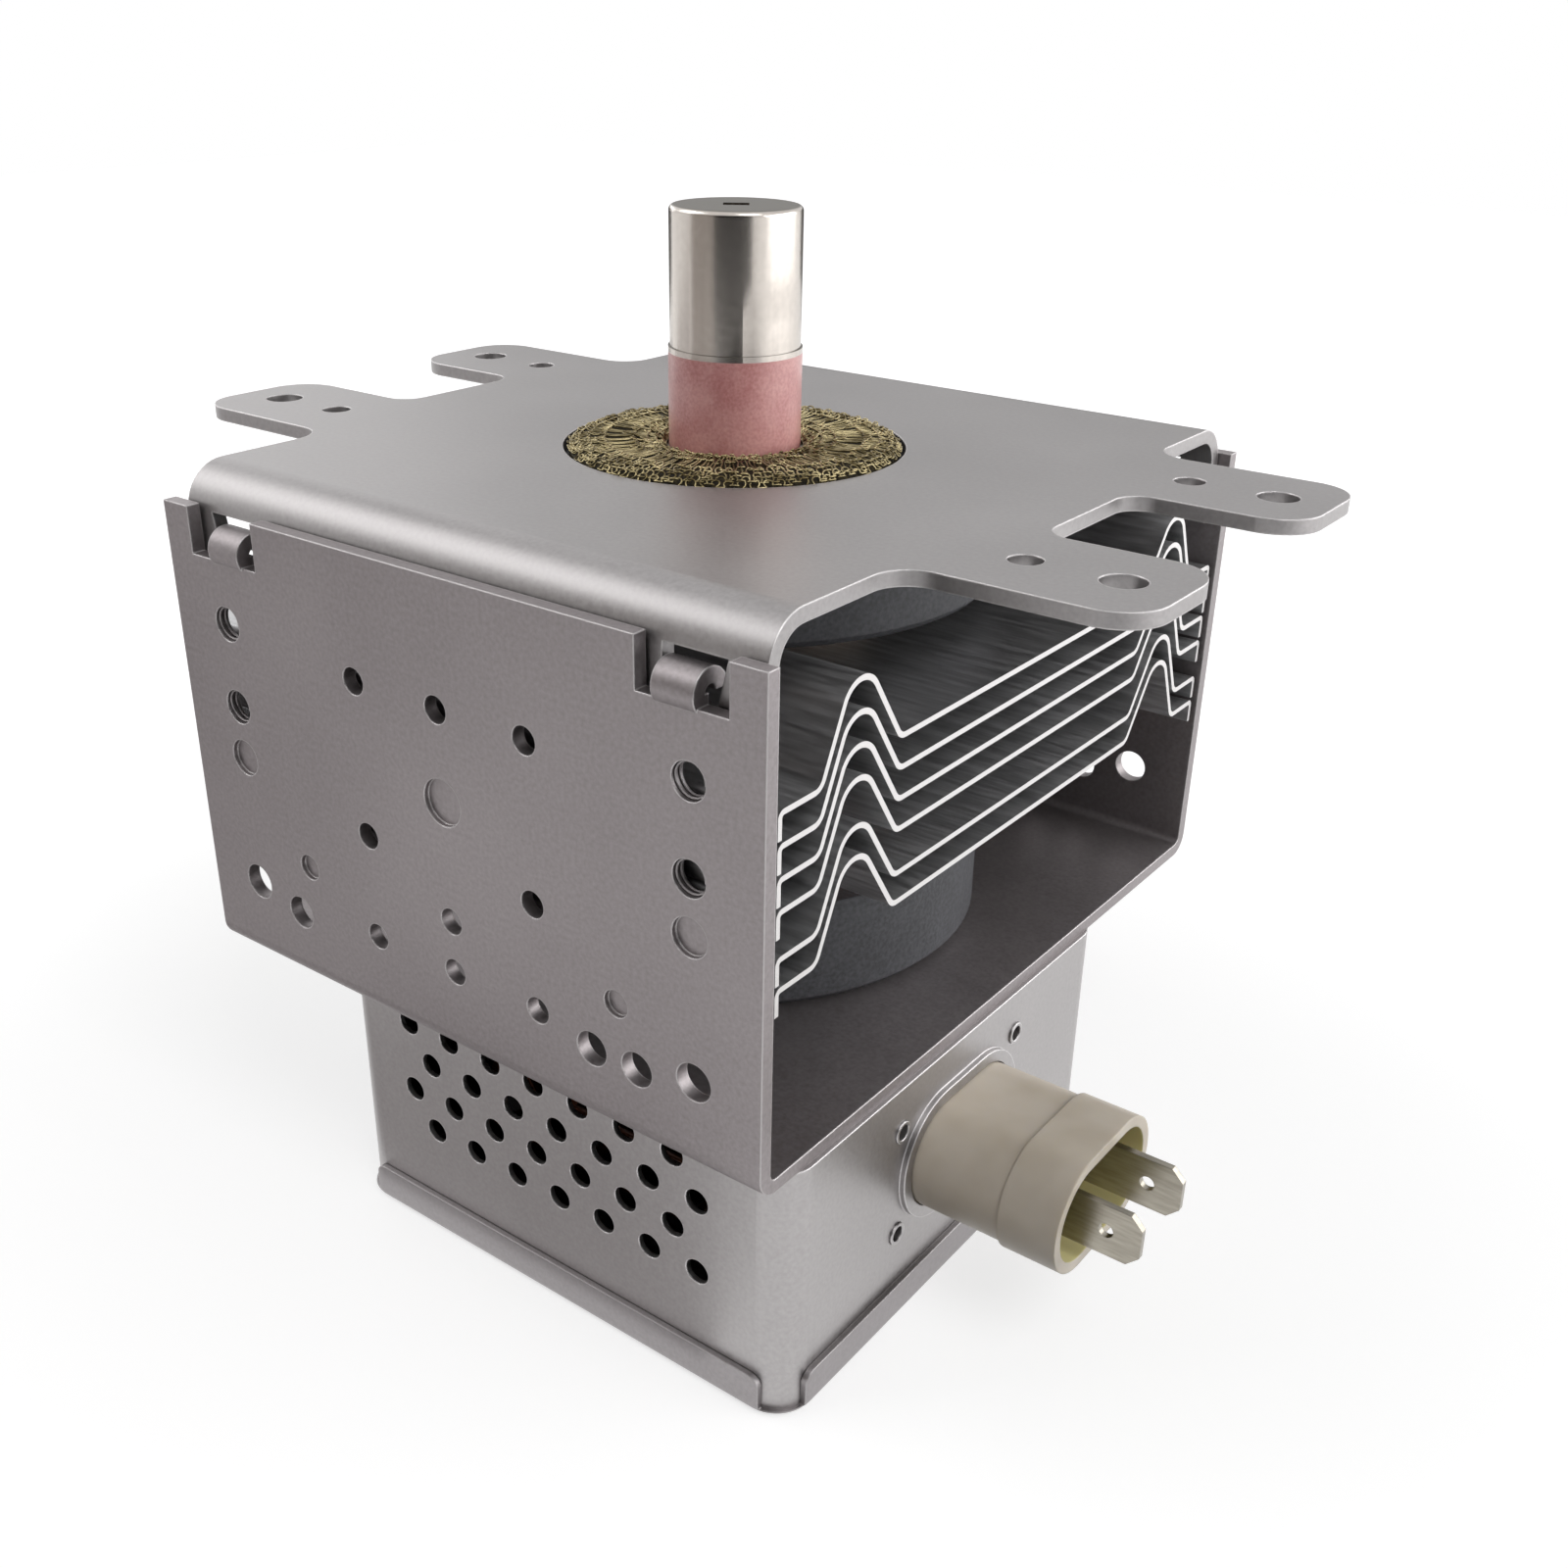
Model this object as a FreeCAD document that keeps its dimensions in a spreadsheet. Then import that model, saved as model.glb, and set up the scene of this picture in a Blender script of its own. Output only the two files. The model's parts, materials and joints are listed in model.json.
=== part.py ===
import FreeCAD, Part
import math
import os
import re
import Sketcher
from FreeCAD import Placement, Rotation, Vector

# Magnetron for a microwave oven. The origin is on the antenna's axis, at the upper face of the top plate.
# Z runs up the antenna, X along the cooling air, and the frame's two closed walls face -Y and +Y.
# Driving sizes in millimetres.
SIZES = {
    # folded steel yoke
    "yoke_width": 95.0,
    "yoke_length": 81.0,
    "yoke_height": 57.9,
    "steel_thick": 1.6,
    "frame_bend": 1.0,
    "wall_drop": 3.6,
    # top plate with its tabs and flanges
    "plate_length": 78.0,
    "flange_gap": 0.3,
    "flange_depth": 12.0,
    "plate_bend": 3.4,
    "neck_length": 88.6,
    "tab_span": 126.0,
    "tab_width": 16.8,
    "tab_pitch": 35.5,
    "tab_corner": 5.0,
    "root_fillet": 4.0,
    "neck_fillet": 3.0,
    "bolt_edge": 6.0,
    "bolt_hole": 4.4,
    "locator_edge": 15.75,
    "locator_hole": 3.4,
    "output_opening": 38.8,
    # hooked tongues that hold the plate
    "tongue_centre": 30.6,
    "tongue_width": 4.8,
    "notch_inner": 26.0,
    "notch_outer": 36.5,
    "notch_depth": 8.8,
    "hook_radius": 2.35,
    "hook_depth": 5.4,
    "hook_bulge": 0.5,
    "hook_turn": 215.0,
    "window_gap": 0.6,
    "window_flare": 1.3,
    "window_top": 4.4,
    "window_low": 9.6,
    # holes and half-pierced dimples of the side walls
    "tapped_hole": 3.9,
    "tapped_side": 32.0,
    "tapped_upper": 15.8,
    "tapped_lower": 25.4,
    "vent_hole": 3.0,
    "vent_side": 12.0,
    "vent_upper": 17.4,
    "vent_middle": 35.0,
    "vent_centre": 41.2,
    "vent_lower": 47.3,
    "corner_hole": 4.2,
    "corner_side": 32.4,
    "fixture_hole": 3.9,
    "fixture_side": 25.2,
    "fixture_depth": 48.9,
    "fixture_near": 19.3,
    "dimple_depth": 0.6,
    "rivet_dimple": 4.2,
    "rivet_depth": 31.5,
    "centre_dimple": 5.2,
    "centre_depth": 27.5,
    "small_dimple": 3.0,
    "small_side": 22.7,
    "small_depth": 42.3,
    # ferrite ring magnets
    "magnet_radius": 30.5,
    "magnet_bore": 11.0,
    "magnet_height": 12.2,
    "magnet_chamfer": 0.8,
    # cooling fins
    "fin_length": 80.0,
    "fin_thick": 0.6,
    "fin_gap": 0.8,
    "fin_first": 16.4,
    "fin_pitch": 3.3,
    "fin_break": 4.9,
    "fin_inset": 4.9,
    "fin_slope": 7.7,
    "fin_fall": 5.6,
    "fin_rise": 11.3,
    "fin_ledge": 6.2,
    "fin_shelf": 0.8,
    "fin_tail": 3.0,
    "fin_crest": 3.2,
    "fin_crease": 1.2,
    "fin_corner": 0.9,
    "collar_height": 2.3,
    "collar_gap": 0.05,
    "relief_gap": 0.5,
    # anode with its vanes and straps
    "anode_radius": 19.0,
    "anode_wall": 2.2,
    "seal_sheet": 0.5,
    "pole_thick": 1.6,
    "pole_shoulder": 14.0,
    "pole_throat": 8.0,
    "pole_bore": 4.7,
    "pole_gap": 2.25,
    "pole_slot": 2.4,
    "vane_height": 9.5,
    "vane_thick": 2.0,
    "vane_tip": 4.6,
    "strap_inner": 6.0,
    "strap_outer": 7.6,
    "strap_width": 0.8,
    # output
    "cup_radius": 7.8,
    "cup_depth": 0.4,
    "cup_mouth": 5.2,
    "ceramic_radius": 7.45,
    "ceramic_bore": 5.6,
    "ceramic_top": 10.3,
    "exhaust_radius": 3.0,
    "exhaust_top": 21.0,
    "exhaust_flange": 6.6,
    "lead_radius": 1.2,
    "lead_root": 10.0,
    "lead_top": 18.0,
    "cap_radius": 7.25,
    "cap_top": 25.6,
    "cap_sheet": 0.5,
    "cap_round": 0.6,
    "cap_lip": 0.2,
    "lip_height": 0.6,
    "slot_length": 2.8,
    "slot_width": 2.2,
    "slot_turn": 37.0,
    "gasket_radius": 18.7,
    "gasket_bore": 8.0,
    "gasket_crown": 0.8,
    "gasket_groove": 0.35,
    "gasket_courses": 5,
    # cathode and stem
    "filament_radius": 2.2,
    "filament_wire": 0.5,
    "hat_radius": 3.9,
    "hat_thick": 1.2,
    "hat_bore": 1.5,
    "rod_radius": 0.7,
    "rod_offset": 3.0,
    "rod_clear": 0.1,
    "stem_radius": 9.1,
    "stem_depth": 1.5,
    "stem_mouth": 6.6,
    "stem_ceramic": 8.6,
    "stem_length": 8.0,
    "terminal_radius": 1.6,
    "terminal_drop": 4.6,
    "rod_end": 3.5,
    "base_hole": 12.5,
    # filter box and lid
    "box_front": 41.0,
    "box_back": 24.0,
    "box_near": 43.4,
    "box_far": 22.0,
    "box_depth": 30.8,
    "box_sheet": 0.7,
    "box_corner": 4.0,
    "box_hole": 10.4,
    "grille_hole": 3.0,
    "grille_pitch": 6.56,
    "grille_row": 4.6,
    "grille_start": 13.3,
    "grille_top": 3.2,
    "lid_height": 5.0,
    "lid_gap": 0.05,
    "lid_notch": 3.0,
    "lid_ear": 1.4,
    "lid_bend": 1.3,
    # chokes
    "choke_side": 6.0,
    "choke_drop": 14.1,
    "choke_start": 8.6,
    "choke_length": 26.0,
    "choke_radius": 3.9,
    "core_radius": 2.5,
    "core_gap": 0.1,
    "core_overhang": 1.0,
    "wire_radius": 0.6,
    # feed-through capacitor and connector
    "plug_centre": 10.6,
    "plug_drop": 12.6,
    "plug_half": 4.1,
    "shell_radius": 6.9,
    "shell_step": 0.4,
    "shell_break": 11.5,
    "shell_reach": 18.4,
    "shell_wall": 0.9,
    "shell_floor": 4.0,
    "shell_gap": 0.15,
    "rim_height": 0.7,
    "rim_width": 1.4,
    "holder_length": 30.4,
    "holder_height": 19.0,
    "holder_thick": 0.8,
    "eyelet_span": 24.4,
    "eyelet_rise": 13.8,
    "eyelet_radius": 1.3,
    "eyelet_bore": 0.95,
    "eyelet_proud": 0.25,
    "eyelet_gap": 0.05,
    "capacitor_radius": 6.2,
    "capacitor_depth": 15.0,
    "blade_pitch": 9.9,
    "blade_width": 6.3,
    "blade_thick": 0.8,
    "blade_reach": 25.4,
    "blade_tail": 20.0,
    "blade_chamfer": 1.4,
    "blade_hole": 1.7,
    "blade_hole_inset": 4.0,
    "blade_gap": 0.1,
}
FINS = 6
FINS_ABOVE_BREAK = 4
VANES = 10
FILAMENT_TURNS = 4
GRILLE_COLUMNS = 7
GRILLE_ROWS = 4

doc = FreeCAD.newDocument("Magnetron")
sheet = doc.addObject("Spreadsheet::Sheet", "Sizes")
for line, (alias, size) in enumerate(SIZES.items(), start=1):
    sheet.set(f"A{line}", alias.replace("_", " "))
    sheet.set(f"B{line}", str(size))
    sheet.setAlias(f"B{line}", alias)
doc.recompute()
finished = []


def bound(formula):
    """The formula with every size's name turned into its cell of the sheet."""
    return re.sub(r"[a-z]+(?:_[a-z]+)+", lambda name: "Sizes." + name.group(0), formula)


def value(formula):
    """What a formula of the sheet's sizes comes to, in millimetres or degrees."""
    result = sheet.evalExpression(bound(formula))
    return float(getattr(result, "Value", result))


def bind(piece, **formulas):
    """Tie properties of an object to formulas of the sheet's sizes."""
    for name, formula in formulas.items():
        piece.setExpression(name, bound(formula))
    return piece


def finish(piece, label):
    """Name a finished sub-part."""
    piece.Label = label
    finished.append(piece)
    return piece


# Sketches: every corner, centre and radius is tied to the sheet.
def sketch_in(body, plane, offset="0"):
    sketch = body.newObject("Sketcher::SketchObject", "Sketch")
    plane_object = [each for each in body.Origin.OriginFeatures if each.Role == plane + "_Plane"][0]
    sketch.AttachmentSupport = [(plane_object, "")]
    sketch.MapMode = "FlatFace"
    sketch.setExpression("AttachmentOffset.Base.z", bound(offset))
    return sketch


def pin(sketch, edge, point, across, up):
    for kind, formula in (("DistanceX", across), ("DistanceY", up)):
        place = sketch.addConstraint(Sketcher.Constraint(kind, -1, 1, edge, point, value(formula)))
        sketch.setExpression(f"Constraints[{place}]", bound(formula))


def path(sketch, corners, closed=True):
    places = [Vector(value(across), value(up), 0) for across, up in corners]
    ends = places[1:] + places[:1] if closed else places[1:]
    edges = [sketch.addGeometry(Part.LineSegment(start, end)) for start, end in zip(places, ends)]
    for edge, (across, up) in zip(edges, corners):
        pin(sketch, edge, 1, across, up)
    for edge, following in zip(edges, edges[1:]):
        sketch.addConstraint(Sketcher.Constraint("Coincident", edge, 2, following, 1))
    if closed:
        sketch.addConstraint(Sketcher.Constraint("Coincident", edges[-1], 2, edges[0], 1))
    else:
        pin(sketch, edges[-1], 2, *corners[-1])


def circle(sketch, across, up, radius):
    centre = Vector(value(across), value(up), 0)
    edge = sketch.addGeometry(Part.Circle(centre, Vector(0, 0, 1), value(radius)))
    pin(sketch, edge, 3, across, up)
    place = sketch.addConstraint(Sketcher.Constraint("Radius", edge, value(radius)))
    sketch.setExpression(f"Constraints[{place}]", bound(radius))


def stadium(sketch, across, up, half, radius):
    """A slot with round ends that lies along the sketch's first axis."""
    left = Vector(value(f"{across} - ({half})"), value(up), 0)
    right = Vector(value(f"{across} + ({half})"), value(up), 0)
    size = value(radius)
    normal = Vector(0, 0, 1)
    quarter = math.pi / 2
    lift = Vector(0, size, 0)
    edges = [
        sketch.addGeometry(Part.ArcOfCircle(Part.Circle(left, normal, size), quarter, 3 * quarter)),
        sketch.addGeometry(Part.LineSegment(left - lift, right - lift)),
        sketch.addGeometry(Part.ArcOfCircle(Part.Circle(right, normal, size), -quarter, quarter)),
        sketch.addGeometry(Part.LineSegment(right + lift, left + lift)),
    ]
    for edge, following in zip(edges, edges[1:] + edges[:1]):
        sketch.addConstraint(Sketcher.Constraint("Tangent", edge, 2, following, 1))
    pin(sketch, edges[0], 3, f"{across} - ({half})", up)
    place = sketch.addConstraint(Sketcher.Constraint("DistanceX", -1, 1, edges[2], 3, right.x))
    sketch.setExpression(f"Constraints[{place}]", bound(f"{across} + ({half})"))
    place = sketch.addConstraint(Sketcher.Constraint("Radius", edges[2], size))
    sketch.setExpression(f"Constraints[{place}]", bound(radius))


# Features
def new_body(name):
    return doc.addObject("PartDesign::Body", name)


def pad(body, sketch, length, centred=False, backwards=False):
    feature = body.newObject("PartDesign::Pad", "Pad")
    feature.Profile = sketch
    feature.SideType = "Symmetric" if centred else "One side"
    feature.Reversed = backwards
    return bind(feature, Length=length)


def pocket(body, sketch, depth=None, backwards=False):
    """A cut of the given depth, or right through on both sides."""
    feature = body.newObject("PartDesign::Pocket", "Pocket")
    feature.Profile = sketch
    feature.Reversed = backwards
    if depth is None:
        feature.SideType = "Symmetric"
        feature.Type = "ThroughAll"
        return feature
    return bind(feature, Length=depth)


def round_edges(body, chosen, radius, label="Fillet"):
    """Round the edges of the body's last feature that the test picks."""
    doc.recompute()
    last = body.Tip
    names = [f"Edge{number}" for number, edge in enumerate(last.Shape.Edges, start=1) if chosen(edge)]
    feature = body.newObject("PartDesign::Fillet", label)
    feature.Base = (last, names)
    return bind(feature, Radius=radius)


def middle(edge):
    return edge.valueAt((edge.FirstParameter + edge.LastParameter) / 2)


def runs_along(edge, axis):
    """True for a straight edge that lies along the axis."""
    direction = edge.tangentAt(edge.FirstParameter)
    return edge.Curve.TypeId == "Part::GeomLine" and abs(direction.dot(axis)) > 0.999


def near(first, second):
    return abs(first - second) < 0.02


ALONG_X = Vector(1, 0, 0)
ALONG_Y = Vector(0, 1, 0)
ALONG_Z = Vector(0, 0, 1)


def turned(label, corners):
    """A piece turned about the antenna's axis from its section, given as radius and height."""
    body = new_body(label)
    sketch = sketch_in(body, "XZ")
    path(sketch, corners)
    feature = body.newObject("PartDesign::Revolution", "Revolution")
    feature.Profile = sketch
    feature.ReferenceAxis = (sketch, ["V_Axis"])
    feature.Angle = 360
    return body


def cylinder(name, radius, height, x="0", y="0", z="0", turn=None):
    piece = doc.addObject("Part::Cylinder", name)
    if turn is not None:
        piece.Placement = Placement(Vector(), turn)
    bind(piece, Radius=radius, Height=height)
    return move(piece, x, y, z)


def block(name, length, width, height, x, y, z):
    piece = bind(doc.addObject("Part::Box", name), Length=length, Width=width, Height=height)
    return move(piece, x, y, z)


def move(piece, x, y, z):
    piece.setExpression("Placement.Base.x", bound(x))
    piece.setExpression("Placement.Base.y", bound(y))
    piece.setExpression("Placement.Base.z", bound(z))
    return piece


def cut(name, base, tool):
    piece = doc.addObject("Part::Cut", name)
    piece.Base = base
    piece.Tool = tool
    return piece


def fuse(name, pieces):
    piece = doc.addObject("Part::MultiFuse", name)
    piece.Shapes = pieces
    piece.Refine = True
    return piece


def group(name, pieces):
    piece = doc.addObject("Part::Compound", name)
    piece.Links = pieces
    return piece


def tube(name, outer, inner, height, **place):
    long_tool = cylinder(name + "_bore", inner, height, **place)
    return cut(name, cylinder(name + "_outside", outer, height, **place), long_tool)


def rod(name, corners, radius, bend=None):
    """A wire of straight runs, joined by arcs of one bend radius or by plain mitres."""
    points = [Vector(*(value(each) for each in corner)) for corner in corners]
    direction = (points[1] - points[0]).normalize()
    section = Part.Wire([Part.Circle(points[0], direction, value(radius)).toShape()])
    piece = doc.addObject("Part::Feature", name)
    if bend is None:
        piece.Shape = Part.makePolygon(points).makePipeShell([section], True, False, 1)
        return piece
    size = value(bend)
    edges = []
    start = points[0]
    for before, corner, after in zip(points, points[1:], points[2:]):
        arriving = (corner - before).normalize()
        leaving = (after - corner).normalize()
        half_turn = arriving.getAngle(leaving) / 2
        reach = size * math.tan(half_turn)
        first = corner - arriving * reach
        last = corner + leaving * reach
        inward = (leaving - arriving).normalize()
        top = corner + inward * (size / math.cos(half_turn) - size)
        edges.append(Part.LineSegment(start, first).toShape())
        edges.append(Part.Arc(first, top, last).toShape())
        start = last
    edges.append(Part.LineSegment(start, points[-1]).toShape())
    piece.Shape = Part.Wire(edges).makePipeShell([section], True, False)
    return piece


# Heights that several pieces share
WALL_INSIDE = "(yoke_width / 2 - steel_thick)"
BASE_TOP = "(steel_thick - yoke_height)"
MAGNET_LOW = "(-steel_thick - magnet_height)"
MAGNET_HIGH = f"({BASE_TOP} + magnet_height)"
POLE_TOP = f"({MAGNET_LOW} - seal_sheet)"
POLE_FOOT = f"({MAGNET_HIGH} + seal_sheet)"
ANODE_TOP = f"({POLE_TOP} - pole_thick)"
ANODE_FOOT = f"({POLE_FOOT} + pole_thick)"
ANODE_MIDDLE = f"(({ANODE_TOP} + {ANODE_FOOT}) / 2)"
VANE_TOP = f"({ANODE_MIDDLE} + vane_height / 2)"
VANE_FOOT = f"({ANODE_MIDDLE} - vane_height / 2)"
BOX_FLOOR = "(-yoke_height - box_depth)"
PLUG_Z = "(-yoke_height - plug_drop)"
PLUG_Y = "(-plug_centre)"
STEM_LOW = "(-yoke_height - stem_depth)"
CERAMIC_LOW = f"({STEM_LOW} - stem_length)"


# Top plate: one sheet with two flanges folded down inside the frame's walls and four mounting tabs.
FLANGE = f"({WALL_INSIDE} - flange_gap)"
plate = new_body("Plate")
section = sketch_in(plate, "YZ")
path(section, [
    (f"-{FLANGE}", "-flange_depth"), (f"-{FLANGE}", "0"), (FLANGE, "0"), (FLANGE, "-flange_depth"),
    (f"{FLANGE} - steel_thick", "-flange_depth"), (f"{FLANGE} - steel_thick", "-steel_thick"),
    (f"steel_thick - {FLANGE}", "-steel_thick"), (f"steel_thick - {FLANGE}", "-flange_depth"),
])
pad(plate, section, "plate_length", centred=True)
edge_y = value(FLANGE)
sheet_edge = value("steel_thick")
round_edges(plate, lambda edge: runs_along(edge, ALONG_X) and near(middle(edge).z, 0),
            "plate_bend + steel_thick")
round_edges(plate, lambda edge: runs_along(edge, ALONG_X) and near(middle(edge).z, -sheet_edge)
            and abs(middle(edge).y) > edge_y - 2 * sheet_edge, "plate_bend")
TAB_FAR = "(tab_pitch + tab_width) / 2"
TAB_NEAR = "(tab_pitch - tab_width) / 2"
outline = sketch_in(plate, "XY")
path(outline, [
    ("tab_span / 2", TAB_NEAR), ("tab_span / 2", TAB_FAR),
    ("-tab_span / 2", TAB_FAR), ("-tab_span / 2", TAB_NEAR),
    ("-neck_length / 2", TAB_NEAR), ("-neck_length / 2", f"-{TAB_NEAR}"), ("-tab_span / 2", f"-{TAB_NEAR}"),
    ("-tab_span / 2", f"-{TAB_FAR}"), ("tab_span / 2", f"-{TAB_FAR}"), ("tab_span / 2", f"-{TAB_NEAR}"),
    ("neck_length / 2", f"-{TAB_NEAR}"), ("neck_length / 2", TAB_NEAR),
])
pad(plate, outline, "steel_thick", backwards=True)
round_edges(plate, lambda edge: runs_along(edge, ALONG_Z)
            and near(abs(middle(edge).x), value("tab_span / 2")), "tab_corner")
round_edges(plate, lambda edge: runs_along(edge, ALONG_Z)
            and near(abs(middle(edge).x), value("neck_length / 2")), "neck_fillet")
round_edges(plate, lambda edge: runs_along(edge, ALONG_Z)
            and near(abs(middle(edge).x), value("plate_length / 2"))
            and near(abs(middle(edge).y), value(TAB_FAR)), "root_fillet")
holes = sketch_in(plate, "XY")
circle(holes, "0", "0", "output_opening / 2")
for along in ("", "-"):
    for across in ("", "-"):
        circle(holes, f"{along}(tab_span / 2 - bolt_edge)", f"{across}tab_pitch / 2", "bolt_hole / 2")
        circle(holes, f"{along}(tab_span / 2 - locator_edge)", f"{across}tab_pitch / 2", "locator_hole / 2")
pocket(plate, holes)
windows = sketch_in(plate, "XZ")
for side in ("", "-"):
    inner = f"{side}(tongue_centre - tongue_width / 2 - window_gap)"
    outer = f"{side}(tongue_centre + tongue_width / 2 + window_gap)"
    flared = f"{side}(tongue_centre + tongue_width / 2 + window_gap + window_flare)"
    path(windows, [
        (inner, "-window_low"), (outer, "-window_low"), (flared, "-window_top"), (inner, "-window_top"),
    ])
pocket(plate, windows)
finish(plate, "yoke_top_plate")

# Yoke frame: one sheet folded to a U, with tongues at its wall tops that hook into the plate's windows.
frame = new_body("FrameSheet")
section = sketch_in(frame, "YZ")
path(section, [
    ("-yoke_width / 2", "-wall_drop"), ("-yoke_width / 2", "-yoke_height"),
    ("yoke_width / 2", "-yoke_height"), ("yoke_width / 2", "-wall_drop"),
    (WALL_INSIDE, "-wall_drop"), (WALL_INSIDE, BASE_TOP),
    (f"-{WALL_INSIDE}", BASE_TOP), (f"-{WALL_INSIDE}", "-wall_drop"),
])
pad(frame, section, "yoke_length", centred=True)
round_edges(frame, lambda edge: runs_along(edge, ALONG_X) and near(middle(edge).z, value("-yoke_height")),
            "frame_bend + steel_thick")
round_edges(frame, lambda edge: runs_along(edge, ALONG_X) and near(middle(edge).z, value(BASE_TOP)),
            "frame_bend")
notches = sketch_in(frame, "XZ")
for side in ("", "-"):
    path(notches, [
        (f"{side}notch_inner", "-notch_depth"), (f"{side}notch_outer", "-notch_depth"),
        (f"{side}notch_outer", "0"), (f"{side}notch_inner", "0"),
    ])
pocket(frame, notches)
wall_holes = sketch_in(frame, "XZ")
for side in ("", "-"):
    circle(wall_holes, f"{side}tapped_side", "-tapped_upper", "tapped_hole / 2")
    circle(wall_holes, f"{side}tapped_side", "-tapped_lower", "tapped_hole / 2")
    circle(wall_holes, f"{side}vent_side", "-vent_upper", "vent_hole / 2")
    circle(wall_holes, f"{side}vent_side", "-vent_middle", "vent_hole / 2")
    circle(wall_holes, f"{side}vent_side", "-vent_lower", "vent_hole / 2")
    circle(wall_holes, f"{side}corner_side", "-vent_lower", "corner_hole / 2")
    circle(wall_holes, f"{side}fixture_side", "-fixture_depth", "fixture_hole / 2")
circle(wall_holes, "0", "-vent_upper", "vent_hole / 2")
circle(wall_holes, "0", "-vent_centre", "vent_hole / 2")
circle(wall_holes, "0", "-vent_lower", "vent_hole / 2")
circle(wall_holes, "fixture_near", "-fixture_depth", "fixture_hole / 2")
pocket(frame, wall_holes)
for wall_face, backwards in (("yoke_width / 2", False), ("-yoke_width / 2", True)):
    dimples = sketch_in(frame, "XZ", wall_face)
    circle(dimples, "0", "-centre_depth", "centre_dimple / 2")
    for side in ("", "-"):
        circle(dimples, f"{side}tapped_side", "-rivet_depth", "rivet_dimple / 2")
        circle(dimples, f"{side}small_side", "-small_depth", "small_dimple / 2")
    pocket(frame, dimples, "dimple_depth", backwards)
stem_opening = sketch_in(frame, "XY", "-yoke_height")
circle(stem_opening, "0", "0", "base_hole")
pocket(frame, stem_opening, "2 * steel_thick", backwards=True)
frame_pieces = [frame]
HOOK_Y = "(yoke_width / 2 + hook_bulge - hook_radius)"
HOOK_Z = "(-hook_depth - hook_radius)"
AXIS_TO_X = Rotation(Vector(1, 1, 1), 120)
for wall in (-1, 1):
    sign = "-" if wall < 0 else ""
    start = Rotation(ALONG_X, 0 if wall < 0 else 180 - value("hook_turn")) * AXIS_TO_X
    for end in ("", "-"):
        low_x = f"{end}tongue_centre - tongue_width / 2"
        ring = []
        for name, radius in (("Hook", "hook_radius"), ("HookInside", "hook_radius - steel_thick")):
            sector = cylinder(name, radius, "tongue_width", low_x, f"{sign}{HOOK_Y}", HOOK_Z, start)
            ring.append(bind(sector, Angle="hook_turn"))
        frame_pieces.append(cut("HookRing", *ring))
        wall_y = "-yoke_width / 2" if wall < 0 else WALL_INSIDE
        tongue_height = "notch_depth - hook_depth - hook_radius + steel_thick / 2"
        frame_pieces.append(block("Tongue", "tongue_width", "steel_thick", tongue_height, low_x, wall_y,
                                  "-notch_depth - steel_thick / 2"))
finish(fuse("Frame", frame_pieces), "yoke_frame")


# Ferrite ring magnets: one under the plate, one on the frame's base, both with broken edges.
def magnet(label, low):
    high = f"({low} + magnet_height)"
    finish(turned(label, [
        ("magnet_bore + magnet_chamfer", low), ("magnet_radius - magnet_chamfer", low),
        ("magnet_radius", f"{low} + magnet_chamfer"), ("magnet_radius", f"{high} - magnet_chamfer"),
        ("magnet_radius - magnet_chamfer", high), ("magnet_bore + magnet_chamfer", high),
        ("magnet_bore", f"{high} - magnet_chamfer"), ("magnet_bore", f"{low} + magnet_chamfer"),
    ]), label)


magnet("upper_magnet", MAGNET_LOW)
magnet("lower_magnet", BASE_TOP)


# Cooling fins: pressed aluminium sheets with a drawn collar that grips the anode and a hump at each side.
# A hump starts a little inside the magnets' edge. Its outer slope and the ledge beyond it share the way
# that is left to the wall.
FIN_EDGE = f"({WALL_INSIDE} - fin_gap)"
FIN_FOOT = "(magnet_radius - fin_inset)"
FIN_APEX = f"({FIN_FOOT} + fin_slope)"
FIN_HEEL = f"({FIN_APEX} + ({FIN_EDGE} - {FIN_APEX}) * fin_fall / (fin_fall + fin_ledge))"
FIN_PROFILE = [
    (f"-{FIN_EDGE}", "-fin_shelf - fin_tail", None),
    (f"-{FIN_EDGE}", "-fin_shelf", "fin_corner"),
    (f"-{FIN_HEEL}", "-fin_shelf", "fin_crease"),
    (f"-{FIN_APEX}", "fin_rise", "fin_crest"),
    (f"-{FIN_FOOT}", "0", "fin_crease"),
    (FIN_FOOT, "0", "fin_crease"),
    (FIN_APEX, "fin_rise", "fin_crest"),
    (FIN_HEEL, "-fin_shelf", "fin_crease"),
    (FIN_EDGE, "-fin_shelf", "fin_corner"),
    (FIN_EDGE, "-fin_shelf - fin_tail", None),
]


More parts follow.
